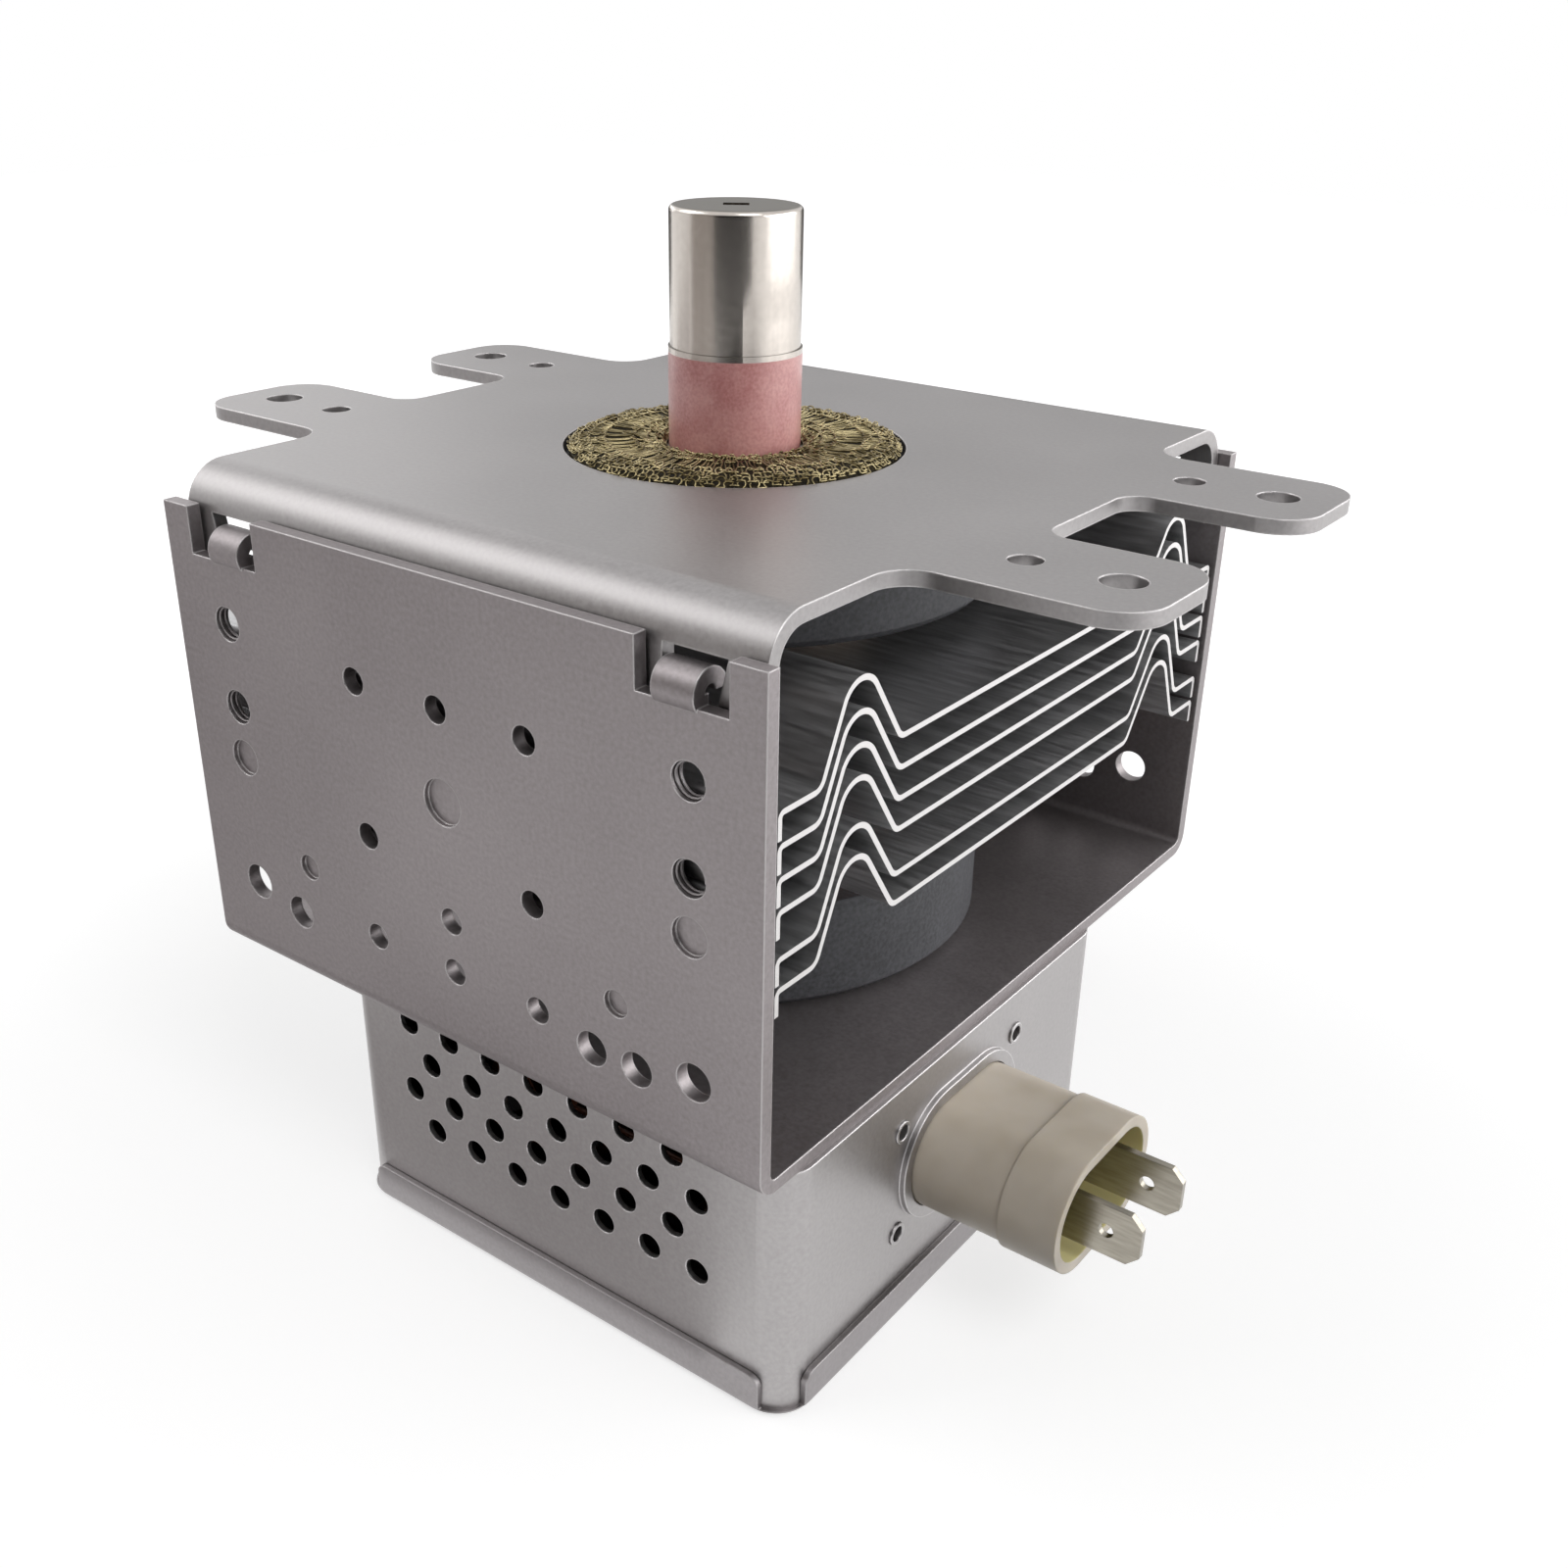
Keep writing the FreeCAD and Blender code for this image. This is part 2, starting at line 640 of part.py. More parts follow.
def fin(number):
    height = f"(-fin_first - {number} * fin_pitch)"
    if number >= FINS_ABOVE_BREAK:
        height = f"(-fin_first - {number - 1} * fin_pitch - fin_break)"
    profile = doc.addObject("Sketcher::SketchObject", "FinProfile")
    profile.Placement = Placement(Vector(), AXIS_TO_X)
    path(profile, [(across, up) for across, up, radius in FIN_PROFILE], closed=False)
    section = doc.addObject("Part::Offset2D", "FinSection")
    section.Source = profile
    section.Mode = "Skin"
    section.Join = "Intersection"
    section.Fill = True
    bind(section, Value="fin_thick")
    strip = doc.addObject("Part::Extrusion", "FinStrip")
    strip.Base = section
    strip.DirMode = "Custom"
    strip.Dir = ALONG_X
    strip.Solid = True
    strip.Symmetric = True
    bind(strip, LengthFwd="fin_length")
    doc.recompute()
    rounded = doc.addObject("Part::Fillet", "FinBends")
    rounded.Base = strip
    rounded.Edges = fin_bends(strip.Shape)
    bore = cylinder("FinBore", "anode_radius + collar_gap", "4 * collar_height", z="-2 * collar_height")
    sheet_part = cut("FinSheet", rounded, bore)
    collar = tube("FinCollar", "anode_radius + collar_gap + fin_thick", "anode_radius + collar_gap",
                  "collar_height", z="-collar_height")
    relief = cylinder("MagnetRelief", "magnet_radius + relief_gap", "2 * fin_rise",
                      z=f"{MAGNET_LOW} + fin_first - relief_gap")
    piece = cut("Fin", fuse("FinPressing", [sheet_part, collar]), relief)
    move(piece, "0", "0", height)
    finish(piece, f"fin_{number + 1}")


def fin_bends(strip):
    """Each fold of the sheet has its own radius on the hollow side and one thickness more on the other."""
    thick = value("fin_thick")
    folds = [(number, middle(edge)) for number, edge in enumerate(strip.Edges, start=1)
             if runs_along(edge, ALONG_X)]
    edges = []
    for across, up, radius in FIN_PROFILE:
        if radius is None:
            continue
        corner = Vector(0, value(across), value(up))
        by_distance = sorted(folds, key=lambda fold: (fold[1] - corner).Length)
        crease = radius == "fin_crease"
        outer = value(radius) + (thick if crease else 0)
        first = outer - thick if crease else outer
        second = outer if crease else outer - thick
        edges.append((by_distance[0][0], first, first))
        edges.append((by_distance[1][0], second, second))
    return edges


for index in range(FINS):
    fin(index)

# Anode: a copper cylinder with ten vanes brazed inside and two pairs of strap rings on the vanes' edges.
ANODE_BORE = "(anode_radius - anode_wall)"
finish(tube("Anode", "anode_radius", ANODE_BORE, f"{ANODE_TOP} - {ANODE_FOOT}", z=ANODE_FOOT),
       "anode_cylinder")
spokes = []
for index in range(VANES):
    spoke = block("Vane", "anode_radius", "vane_thick", "vane_height", "0", "0", "0")
    turn = 360 / VANES * (index + 0.5)
    spoke.Placement = Placement(Vector(), Rotation(ALONG_Z, turn))
    inner = "(vane_tip - vane_thick / 4)"
    move(spoke, f"{inner} * cos({turn}) + vane_thick / 2 * sin({turn})",
         f"{inner} * sin({turn}) - vane_thick / 2 * cos({turn})", VANE_FOOT)
    spokes.append(spoke)
vanes = doc.addObject("Part::Common", "VaneTrim")
vanes.Base = group("Spokes", spokes)
vanes.Tool = tube("VaneRoom", ANODE_BORE, "vane_tip", "vane_height", z=VANE_FOOT)
finish(vanes, "anode_vanes")
for label, low in (("strap_rings_upper", VANE_TOP), ("strap_rings_lower", f"({VANE_FOOT} - strap_width)")):
    rings = [tube("Strap", f"{inner} + strap_width", inner, "strap_width", z=low)
             for inner in ("strap_inner", "strap_outer")]
    finish(group("Straps", rings), label)


# Pole pieces: dished iron discs that carry the field from the magnets to the gap round the cathode.
def pole(label, face, tip, inward, outward):
    """The dish points into the anode: inward is - for the upper piece and + for the lower."""
    return turned(label, [
        ("anode_radius", face), ("pole_shoulder", face), ("pole_throat", f"{tip} {outward} pole_thick"),
        ("pole_bore", f"{tip} {outward} pole_thick"), ("pole_bore", tip),
        ("pole_throat + 0.4 * pole_thick", tip),
        ("pole_shoulder + 0.4 * pole_thick", f"{face} {inward} pole_thick"),
        ("anode_radius", f"{face} {inward} pole_thick"),
    ])


POLE_TIP = f"({VANE_TOP} + strap_width + pole_gap)"
upper_pole = pole("UpperPole", POLE_TOP, POLE_TIP, "-", "+")
lead_hole = cylinder("LeadHole", "pole_slot", f"{POLE_TOP} - {POLE_TIP} + pole_thick", "lead_root", "0",
                     f"{POLE_TIP} - pole_thick")
finish(cut("UpperPoleCut", upper_pole, lead_hole), "upper_pole_piece")
finish(pole("LowerPole", POLE_FOOT, f"({VANE_FOOT} - strap_width - pole_gap)", "+", "-"), "lower_pole_piece")

# Output: sealing cup, ceramic, copper exhaust tube, the antenna lead inside and the steel cap over it.
finish(turned("OutputCup", [
    ("anode_radius", POLE_TOP), ("anode_radius", MAGNET_LOW), ("cup_radius", MAGNET_LOW),
    ("cup_radius", "-cup_depth"), ("cup_mouth", "-cup_depth"), ("cup_mouth", "-cup_depth - seal_sheet"),
    ("cup_radius - seal_sheet", "-cup_depth - seal_sheet"), ("cup_radius - seal_sheet", POLE_TOP),
]), "output_cup")
finish(tube("OutputCeramic", "ceramic_radius", "ceramic_bore", "ceramic_top + cup_depth", z="-cup_depth"),
       "output_ceramic")
finish(turned("Exhaust", [
    ("exhaust_flange", "ceramic_top"), ("exhaust_flange", "ceramic_top + seal_sheet"),
    ("exhaust_radius", "ceramic_top + seal_sheet"), ("exhaust_radius", "exhaust_top - exhaust_radius"),
    ("lead_radius", "exhaust_top"), ("lead_radius", "lead_top + cap_sheet"),
    ("exhaust_radius - seal_sheet", "exhaust_top - 2 * exhaust_radius"),
    ("exhaust_radius - seal_sheet", "ceramic_top"),
]), "exhaust_tube")
cap = turned("Cap", [
    ("cap_radius", "ceramic_top"), ("cap_radius", "cap_top"), ("0", "cap_top"), ("0", "cap_top - cap_sheet"),
    ("cap_radius - cap_sheet", "cap_top - cap_sheet"), ("cap_radius - cap_sheet", "ceramic_top"),
])
round_edges(cap, lambda edge: edge.Curve.TypeId == "Part::GeomCircle"
            and near(middle(edge).z, value("cap_top")), "cap_round")
slot = sketch_in(cap, "XY", "cap_top")
slot.setExpression("AttachmentOffset.Rotation.Angle", bound("slot_turn"))
path(slot, [
    ("-slot_length / 2", "-slot_width / 2"), ("slot_length / 2", "-slot_width / 2"),
    ("slot_length / 2", "slot_width / 2"), ("-slot_length / 2", "slot_width / 2"),
])
pocket(cap, slot, "2 * cap_sheet")
lip = tube("CapLip", "cap_radius + cap_lip", "cap_radius - cap_sheet", "lip_height", z="ceramic_top")
finish(fuse("CapWithLip", [cap, lip]), "antenna_cap")
finish(rod("AntennaLead", [
    ("lead_root", "0", VANE_TOP), ("lead_root", "0", f"{POLE_TIP} + pole_thick"),
    ("0", "0", f"{MAGNET_LOW} + magnet_height / 2 - pole_thick"), ("0", "0", "lead_top"),
], "lead_radius", "3 * lead_radius"), "antenna_lead")

# Radio-frequency gasket: a ring of knitted brass wire that seals against the oven's waveguide.
# Its courses show as ridges round the crown.
GASKET_STEP = "((gasket_radius - gasket_bore) / gasket_courses)"
courses = [
    ("gasket_bore", "-steel_thick"), ("gasket_radius", "-steel_thick"), ("gasket_radius", "-gasket_groove"),
]
for course in reversed(range(round(value("gasket_courses")))):
    courses.append((f"gasket_bore + ({course} + 0.75) * {GASKET_STEP}", "gasket_crown"))
    courses.append((f"gasket_bore + ({course} + 0.25) * {GASKET_STEP}", "gasket_crown"))
    if course:
        courses.append((f"gasket_bore + {course} * {GASKET_STEP}", "gasket_crown - gasket_groove"))
courses.append(("gasket_bore", "-gasket_groove"))
finish(turned("Gasket", courses), "rf_gasket")

# Cathode: a coiled filament between two end hats, on a centre lead and a side lead.
HAT_LOW = f"({VANE_TOP} + seal_sheet)"
LOWER_HAT_TOP = f"({VANE_FOOT} - seal_sheet)"
WIRE_IN = "(filament_radius - filament_wire)"
WIRE_LOW = f"({LOWER_HAT_TOP} + 0.3 * filament_wire)"
WIRE_RISE = f"({HAT_LOW} - {LOWER_HAT_TOP} - 1.6 * filament_wire)"
coil = doc.addObject("Part::Helix", "FilamentLine")
bind(coil, Pitch=f"{WIRE_RISE} / {FILAMENT_TURNS}", Radius="filament_radius - filament_wire / 2",
     Height=WIRE_RISE)
move(coil, "0", "0", WIRE_LOW)
wire_section = doc.addObject("Sketcher::SketchObject", "FilamentSection")
wire_section.Placement = Placement(Vector(), Rotation(ALONG_X, 90))
path(wire_section, [
    (WIRE_IN, WIRE_LOW), ("filament_radius", WIRE_LOW), ("filament_radius", f"{WIRE_LOW} + filament_wire"),
    (WIRE_IN, f"{WIRE_LOW} + filament_wire"),
])
doc.recompute()
winding = doc.addObject("Part::Sweep", "FilamentWinding")
winding.Sections = [wire_section]
winding.Spine = (coil, [f"Edge{number + 1}" for number in range(len(coil.Shape.Edges))])
winding.Solid = True
winding.Frenet = True
feet = [
    block("FilamentFoot", "0.6 * filament_wire", "filament_wire", "0.8 * filament_wire",
          f"{WIRE_IN} + 0.2 * filament_wire", "0", LOWER_HAT_TOP),
    block("FilamentHead", "0.6 * filament_wire", "filament_wire", "0.8 * filament_wire",
          f"{WIRE_IN} + 0.2 * filament_wire", "-filament_wire", f"{HAT_LOW} - 0.8 * filament_wire"),
]
filament = fuse("Filament", [winding] + feet)
finish(filament, "filament")
finish(cylinder("UpperHat", "hat_radius", "hat_thick", z=HAT_LOW), "upper_end_hat")
lower_hat = tube("LowerHat", "hat_radius", "hat_bore", "hat_thick", z=f"{LOWER_HAT_TOP} - hat_thick")
finish(lower_hat, "lower_end_hat")
ROD_END = f"({CERAMIC_LOW} - rod_end)"
finish(rod("CentreLead", [
    ("0", "0", HAT_LOW), ("0", "0", f"{POLE_FOOT} - rod_offset"),
    ("-rod_offset", "0", f"{BASE_TOP} + rod_offset"), ("-rod_offset", "0", ROD_END),
], "rod_radius", "3 * rod_radius"), "centre_lead")
finish(cylinder("SideLead", "rod_radius", f"{LOWER_HAT_TOP} - hat_thick - {ROD_END}", x="rod_offset",
                z=ROD_END), "side_lead")

# Stem: sealing cup, ceramic disc and two terminals, which hang through the frame's base into the filter box.
finish(turned("StemCup", [
    ("anode_radius", POLE_FOOT), ("anode_radius", MAGNET_HIGH), ("stem_radius", MAGNET_HIGH),
    ("stem_radius", STEM_LOW), ("stem_mouth", STEM_LOW), ("stem_mouth", f"{STEM_LOW} + seal_sheet"),
    ("stem_radius - seal_sheet", f"{STEM_LOW} + seal_sheet"), ("stem_radius - seal_sheet", POLE_FOOT),
]), "stem_cup")
rod_holes = [cylinder("RodHole", "rod_radius + rod_clear", "stem_length", f"{side}rod_offset",
                      z=CERAMIC_LOW) for side in ("", "-")]
finish(cut("StemDisc", cylinder("StemBlank", "stem_ceramic", "stem_length", z=CERAMIC_LOW),
           group("RodHoles", rod_holes)), "stem_ceramic")
posts = [tube("Post", "terminal_radius", "rod_radius + rod_clear", "terminal_drop", x=f"{side}rod_offset",
              z=f"{CERAMIC_LOW} - terminal_drop") for side in ("", "-")]
finish(group("Posts", posts), "stem_terminals")


# Filter box: a drawn steel box under the frame. Its near wall is perforated for air.
def tray(body, outer, inner, low, high, hollow_low, hollow_high):
    """A tray with round corners. outer and inner say how far its faces lie outside the box's own."""
    for grow, bottom, top, hollow in ((outer, low, high, False), (inner, hollow_low, hollow_high, True)):
        plan = sketch_in(body, "XY", bottom)
        path(plan, [
            (f"-box_back - ({grow})", f"-box_near - ({grow})"),
            (f"box_front + ({grow})", f"-box_near - ({grow})"),
            (f"box_front + ({grow})", f"box_far + ({grow})"),
            (f"-box_back - ({grow})", f"box_far + ({grow})"),
        ])
        if hollow:
            pocket(body, plan, f"{top} - ({bottom})", backwards=True)
        else:
            pad(body, plan, f"{top} - ({bottom})")
    for grow in (inner, outer):
        ends = [value(f"-box_back - ({grow})"), value(f"box_front + ({grow})")]
        round_edges(body, lambda edge: runs_along(edge, ALONG_Z)
                    and any(near(middle(edge).x, end) for end in ends), f"box_corner + ({grow})")


box = new_body("Box")
tray(box, "0", "-box_sheet", BOX_FLOOR, "-yoke_height", BOX_FLOOR, "-yoke_height - box_sheet")
roof_hole = sketch_in(box, "XY", "-yoke_height")
circle(roof_hole, "0", "0", "box_hole")
pocket(box, roof_hole, "2 * box_sheet")
grille = sketch_in(box, "XZ", "box_near")
for row in range(GRILLE_ROWS):
    for column in range(GRILLE_COLUMNS):
        step = column + row % 2 / 2
        circle(grille, f"{step} * grille_pitch - grille_start",
               f"-yoke_height - grille_top - {row} * grille_row", "grille_hole / 2")
pocket(box, grille, "2 * box_sheet")
front = sketch_in(box, "YZ", "box_front")
stadium(front, PLUG_Y, PLUG_Z, "plug_half", "shell_radius - shell_step + shell_gap")
for side in ("-", "+"):
    for rise in ("-", "+"):
        circle(front, f"{PLUG_Y} {side} eyelet_span / 2", f"{PLUG_Z} {rise} eyelet_rise / 2",
               "eyelet_radius + eyelet_gap")
pocket(box, front, "2 * box_sheet")
rim = sketch_in(box, "YZ", "box_front")
stadium(rim, PLUG_Y, PLUG_Z, "plug_half", "shell_radius - shell_step + shell_gap")
stadium(rim, PLUG_Y, PLUG_Z, "plug_half", "shell_radius - shell_step + shell_gap + rim_width")
pad(box, rim, "rim_height")
finish(box, "filter_box")

# Lid: a shallow tray pressed over the box's open end, slit at its corners.
lid = new_body("Lid")
LID_LOW = f"({BOX_FLOOR} - box_sheet)"
LID_TOP = f"({LID_LOW} + lid_height)"
tray(lid, "box_sheet + lid_gap", "lid_gap", LID_LOW, LID_TOP, BOX_FLOOR, LID_TOP)
round_edges(lid, lambda edge: near(middle(edge).z, value(LID_LOW)), "lid_bend")
slits = sketch_in(lid, "XY", BOX_FLOOR)
for end, x_edge in (("-", "box_back"), ("", "box_front")):
    for side, y_edge in (("-", "box_near"), ("", "box_far")):
        x_out = f"{end}({x_edge} + 2 * box_sheet)"
        x_in = f"{end}({x_edge} - lid_notch)"
        y_out = f"{side}({y_edge} + 2 * box_sheet)"
        y_in = f"{side}({y_edge} - lid_notch)"
        path(slits, [(x_out, y_out), (x_in, y_out), (x_in, y_in), (x_out, y_in)])
pocket(lid, slits, "lid_height", backwards=True)
round_edges(lid, lambda edge: (runs_along(edge, ALONG_X) or runs_along(edge, ALONG_Y))
            and edge.Length < value("box_sheet + lid_gap")
            and near(middle(edge).z, value(LID_TOP)), "lid_ear")
finish(lid, "box_lid")

# Chokes: enamelled copper wound on ferrite rods, from the stem's terminals to the capacitor.
# One lead passes under the rods and one over them, so they clear each other on the way to their blades.
CHOKE_Z = "(-yoke_height - choke_drop)"
WIRE_PATH = "((choke_radius + core_radius + core_gap) / 2)"
AXIS_TO_Y = Rotation(ALONG_X, 90)
BLADE_END = "(box_front - blade_tail)"
for number, side, blade, drop in ((1, "-", "+", "-"), (2, "", "-", "+")):
    x = f"{side}choke_side"
    winding = tube("Winding", "choke_radius", "core_radius + core_gap", "choke_length", x=x, y="-choke_start",
                   z=CHOKE_Z, turn=AXIS_TO_Y)
    entry_x = f"{side}rod_offset"
    aside = "(choke_side - rod_offset)"
    entry_z = f"({CHOKE_Z} + sqrt({WIRE_PATH} * {WIRE_PATH} - {aside} * {aside}))"
    entry = cylinder("Entry", "wire_radius", "choke_start + 2 * wire_radius - terminal_radius", entry_x,
                     "-terminal_radius", entry_z, AXIS_TO_Y)
    exit_y = "(-choke_start - choke_length + 2 * wire_radius)"
    turn_y = f"(-choke_start - choke_length - {4 if number == 1 else 2} * wire_radius)"
    blade_y = f"({PLUG_Y} {blade} blade_pitch / 2)"
    blade_x = f"({BLADE_END} + {2 if number == 2 else 3.6} * wire_radius)"
    exit_z = f"({CHOKE_Z} {drop} {WIRE_PATH})"
    route = [(x, exit_y, exit_z), (x, turn_y, exit_z), (blade_x, turn_y, exit_z)]
    if number == 1:
        route += [(blade_x, blade_y, exit_z), (blade_x, blade_y, f"{PLUG_Z} - blade_width / 2")]
    else:
        route += [(blade_x, f"{blade_y} - blade_thick / 2", exit_z)]
    lead = rod("ChokeLead", route, "wire_radius")
    finish(fuse("Choke", [winding, entry, lead]), f"choke_coil_{number}")
    finish(cylinder("Core", "core_radius", "choke_length + 2 * core_overhang", x,
                    "core_overhang - choke_start", CHOKE_Z, AXIS_TO_Y), f"ferrite_core_{number}")


# Feed-through capacitor: holder riveted inside the box, potted body, plastic shell and two blades.
def stadium_pad(body, start, length, half, radius):
    plan = sketch_in(body, "YZ", start)
    stadium(plan, PLUG_Y, PLUG_Z, half, radius)
    pad(body, plan, length)


def blade_slots(body, gap):
    """Slots right through for both blades."""
    slots = sketch_in(body, "YZ")
    for side in ("-", "+"):
        centre = f"({PLUG_Y} {side} blade_pitch / 2)"
        low = f"{PLUG_Z} - blade_width / 2 - {gap}"
        high = f"{PLUG_Z} + blade_width / 2 + {gap}"
        left = f"{centre} - blade_thick / 2 - {gap}"
        right = f"{centre} + blade_thick / 2 + {gap}"
        path(slots, [(left, low), (right, low), (right, high), (left, high)])
    pocket(body, slots)


HOLDER_FACE = "(box_front - box_sheet)"
holder = new_body("Holder")
plan = sketch_in(holder, "YZ", f"{HOLDER_FACE} - holder_thick")
path(plan, [
    (f"{PLUG_Y} - holder_length / 2", f"{PLUG_Z} - holder_height / 2"),
    (f"{PLUG_Y} + holder_length / 2", f"{PLUG_Z} - holder_height / 2"),
    (f"{PLUG_Y} + holder_length / 2", f"{PLUG_Z} + holder_height / 2"),
    (f"{PLUG_Y} - holder_length / 2", f"{PLUG_Z} + holder_height / 2"),
])
stadium(plan, PLUG_Y, PLUG_Z, "plug_half", "shell_radius - shell_step + shell_gap")
pad(holder, plan, "holder_thick")
round_edges(holder, lambda edge: runs_along(edge, ALONG_X), "eyelet_radius")
eyelets = sketch_in(holder, "YZ", HOLDER_FACE)
bores = sketch_in(holder, "YZ", HOLDER_FACE)
for side in ("-", "+"):
    for rise in ("-", "+"):
        eyelet = (f"{PLUG_Y} {side} eyelet_span / 2", f"{PLUG_Z} {rise} eyelet_rise / 2")
        circle(eyelets, *eyelet, "eyelet_radius")
        circle(bores, *eyelet, "eyelet_bore")
pad(holder, eyelets, "box_sheet + eyelet_proud")
pocket(holder, bores)
finish(holder, "capacitor_holder")

capacitor = new_body("Capacitor")
stadium_pad(capacitor, f"{HOLDER_FACE} - holder_thick - capacitor_depth", "capacitor_depth", "plug_half",
            "capacitor_radius")
blade_slots(capacitor, "blade_gap")
finish(capacitor, "capacitor_body")

shell = new_body("Shell")
SHELL_ROOT = f"({HOLDER_FACE} - holder_thick)"
stadium_pad(shell, SHELL_ROOT, f"box_front + shell_break - {SHELL_ROOT}", "plug_half",
            "shell_radius - shell_step")
stadium_pad(shell, "box_front + shell_break", "shell_reach - shell_break", "plug_half", "shell_radius")
socket = sketch_in(shell, "YZ", "box_front + shell_reach")
stadium(socket, PLUG_Y, PLUG_Z, "plug_half", "shell_radius - shell_step - shell_wall")
pocket(shell, socket, "shell_reach - shell_floor")
blade_slots(shell, "blade_gap")
finish(shell, "connector_shell")

for number, side in ((1, "-"), (2, "+")):
    blade = new_body("Blade")
    profile = sketch_in(blade, "XZ", f"-({PLUG_Y} {side} blade_pitch / 2)")
    tip = "(box_front + blade_reach)"
    low = f"({PLUG_Z} - blade_width / 2)"
    high = f"({PLUG_Z} + blade_width / 2)"
    path(profile, [
        (BLADE_END, low), (f"{tip} - blade_chamfer", low), (tip, f"{low} + blade_chamfer"),
        (tip, f"{high} - blade_chamfer"), (f"{tip} - blade_chamfer", high), (BLADE_END, high),
    ])
    circle(profile, f"{tip} - blade_hole_inset", PLUG_Z, "blade_hole / 2")
    pad(blade, profile, "blade_thick", centred=True)
    finish(blade, f"terminal_{number}")

doc.recompute()
for each in doc.Objects:
    if "Invalid" in each.State or "Error" in each.State:
        raise RuntimeError(f"{each.Name} of {each.Label} failed")
for piece in finished:
    if piece.Shape.isNull() or not piece.Shape.isValid() or not piece.Shape.Solids:
        raise RuntimeError(f"{piece.Label} has no valid solid")
os.makedirs("parts", exist_ok=True)
for piece in finished:
    piece.Shape.exportStep(f"parts/{piece.Label}.step")
    box_size = piece.Shape.BoundBox
    print(f"{piece.Label}: {len(piece.Shape.Solids)} solid(s), volume {piece.Shape.Volume:.1f} mm3, "
          f"z {box_size.ZMin:.2f} to {box_size.ZMax:.2f}")
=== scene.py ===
import json
import math
import random

import bmesh
import bpy
from mathutils import Matrix, Vector


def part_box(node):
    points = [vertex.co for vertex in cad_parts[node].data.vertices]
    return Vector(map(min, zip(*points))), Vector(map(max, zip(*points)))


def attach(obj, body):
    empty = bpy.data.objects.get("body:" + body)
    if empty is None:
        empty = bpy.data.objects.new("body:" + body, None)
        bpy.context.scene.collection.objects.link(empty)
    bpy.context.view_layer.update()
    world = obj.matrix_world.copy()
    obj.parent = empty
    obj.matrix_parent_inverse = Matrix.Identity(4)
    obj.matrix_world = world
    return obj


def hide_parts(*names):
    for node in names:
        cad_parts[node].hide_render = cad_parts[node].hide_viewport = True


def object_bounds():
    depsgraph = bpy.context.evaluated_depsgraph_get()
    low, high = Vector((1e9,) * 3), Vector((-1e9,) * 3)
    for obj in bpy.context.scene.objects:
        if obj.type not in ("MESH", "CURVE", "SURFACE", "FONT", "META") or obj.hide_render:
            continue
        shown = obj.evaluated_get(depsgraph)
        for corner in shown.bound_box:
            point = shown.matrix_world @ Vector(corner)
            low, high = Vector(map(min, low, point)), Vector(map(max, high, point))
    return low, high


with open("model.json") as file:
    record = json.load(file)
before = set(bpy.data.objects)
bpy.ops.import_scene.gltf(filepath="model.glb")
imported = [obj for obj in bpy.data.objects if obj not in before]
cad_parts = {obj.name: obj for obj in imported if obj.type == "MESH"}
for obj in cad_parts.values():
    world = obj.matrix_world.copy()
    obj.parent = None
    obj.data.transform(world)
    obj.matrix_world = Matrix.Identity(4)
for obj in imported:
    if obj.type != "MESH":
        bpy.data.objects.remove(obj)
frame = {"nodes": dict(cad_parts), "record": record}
cad_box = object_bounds()
nodes = frame["nodes"]

# Yoke frame: 1.6 mm zinc-plated steel sheet, pierced flat and folded to a U that returns the magnets' field.
# Rolling and plating leave a matt grey skin with faint streaks along the sheet and a fine spangle. The edges
# are paler, partly worn so by handling and partly a painted highlight.
MM = 0.001
SHEET = 1.6 * MM

# The spangle's crystals are drawn at 0.5 mm, coarser than the real ones, so that they show.
SPANGLE = 0.5
STREAK = 25
CLOUD = 28
WORN_AND_HIGHLIT_EDGE = 0.25 * MM

# The sockets of a Mix node that carry colours.
COLOUR_A = 6
COLOUR_B = 7
COLOUR_OUT = 2


def linear(code):
    """A hex colour of the sRGB space as the linear colour that shaders take."""
    parts = [int(code[place:place + 2], 16) / 255 for place in (1, 3, 5)]
    light = [part / 12.92 if part <= 0.04045 else ((part + 0.055) / 1.055) ** 2.4 for part in parts]
    return (*light, 1.0)


def per_metre(size):
    """The scale at which a pattern repeats every so many millimetres."""
    return 1 / (size * MM)


def add(tree, kind, links=(), stops=(), **settings):
    """One node of a material or world. Settings name its properties or sockets, stops are a ramp's places
    and hex colours, and links say what feeds a socket: an output, or a node for its first output."""
    made = tree.nodes.new("ShaderNode" + kind)
    for name, setting in settings.items():
        if hasattr(made, name):
            setattr(made, name, setting)
        else:
            made.inputs[name.replace("_", " ")].default_value = setting
    for number, (at, code) in enumerate(stops):
        made.color_ramp.elements[number].position = at
        made.color_ramp.elements[number].color = linear(code)
    for socket, source in dict(links).items():
        tree.links.new(source.outputs[0] if hasattr(source, "outputs") else source, made.inputs[socket])
    return made


def new_material(name):
    """An empty material and its node tree."""
    material = bpy.data.materials.new(name)
    material.use_nodes = True
    material.node_tree.nodes.clear()
    return material, material.node_tree


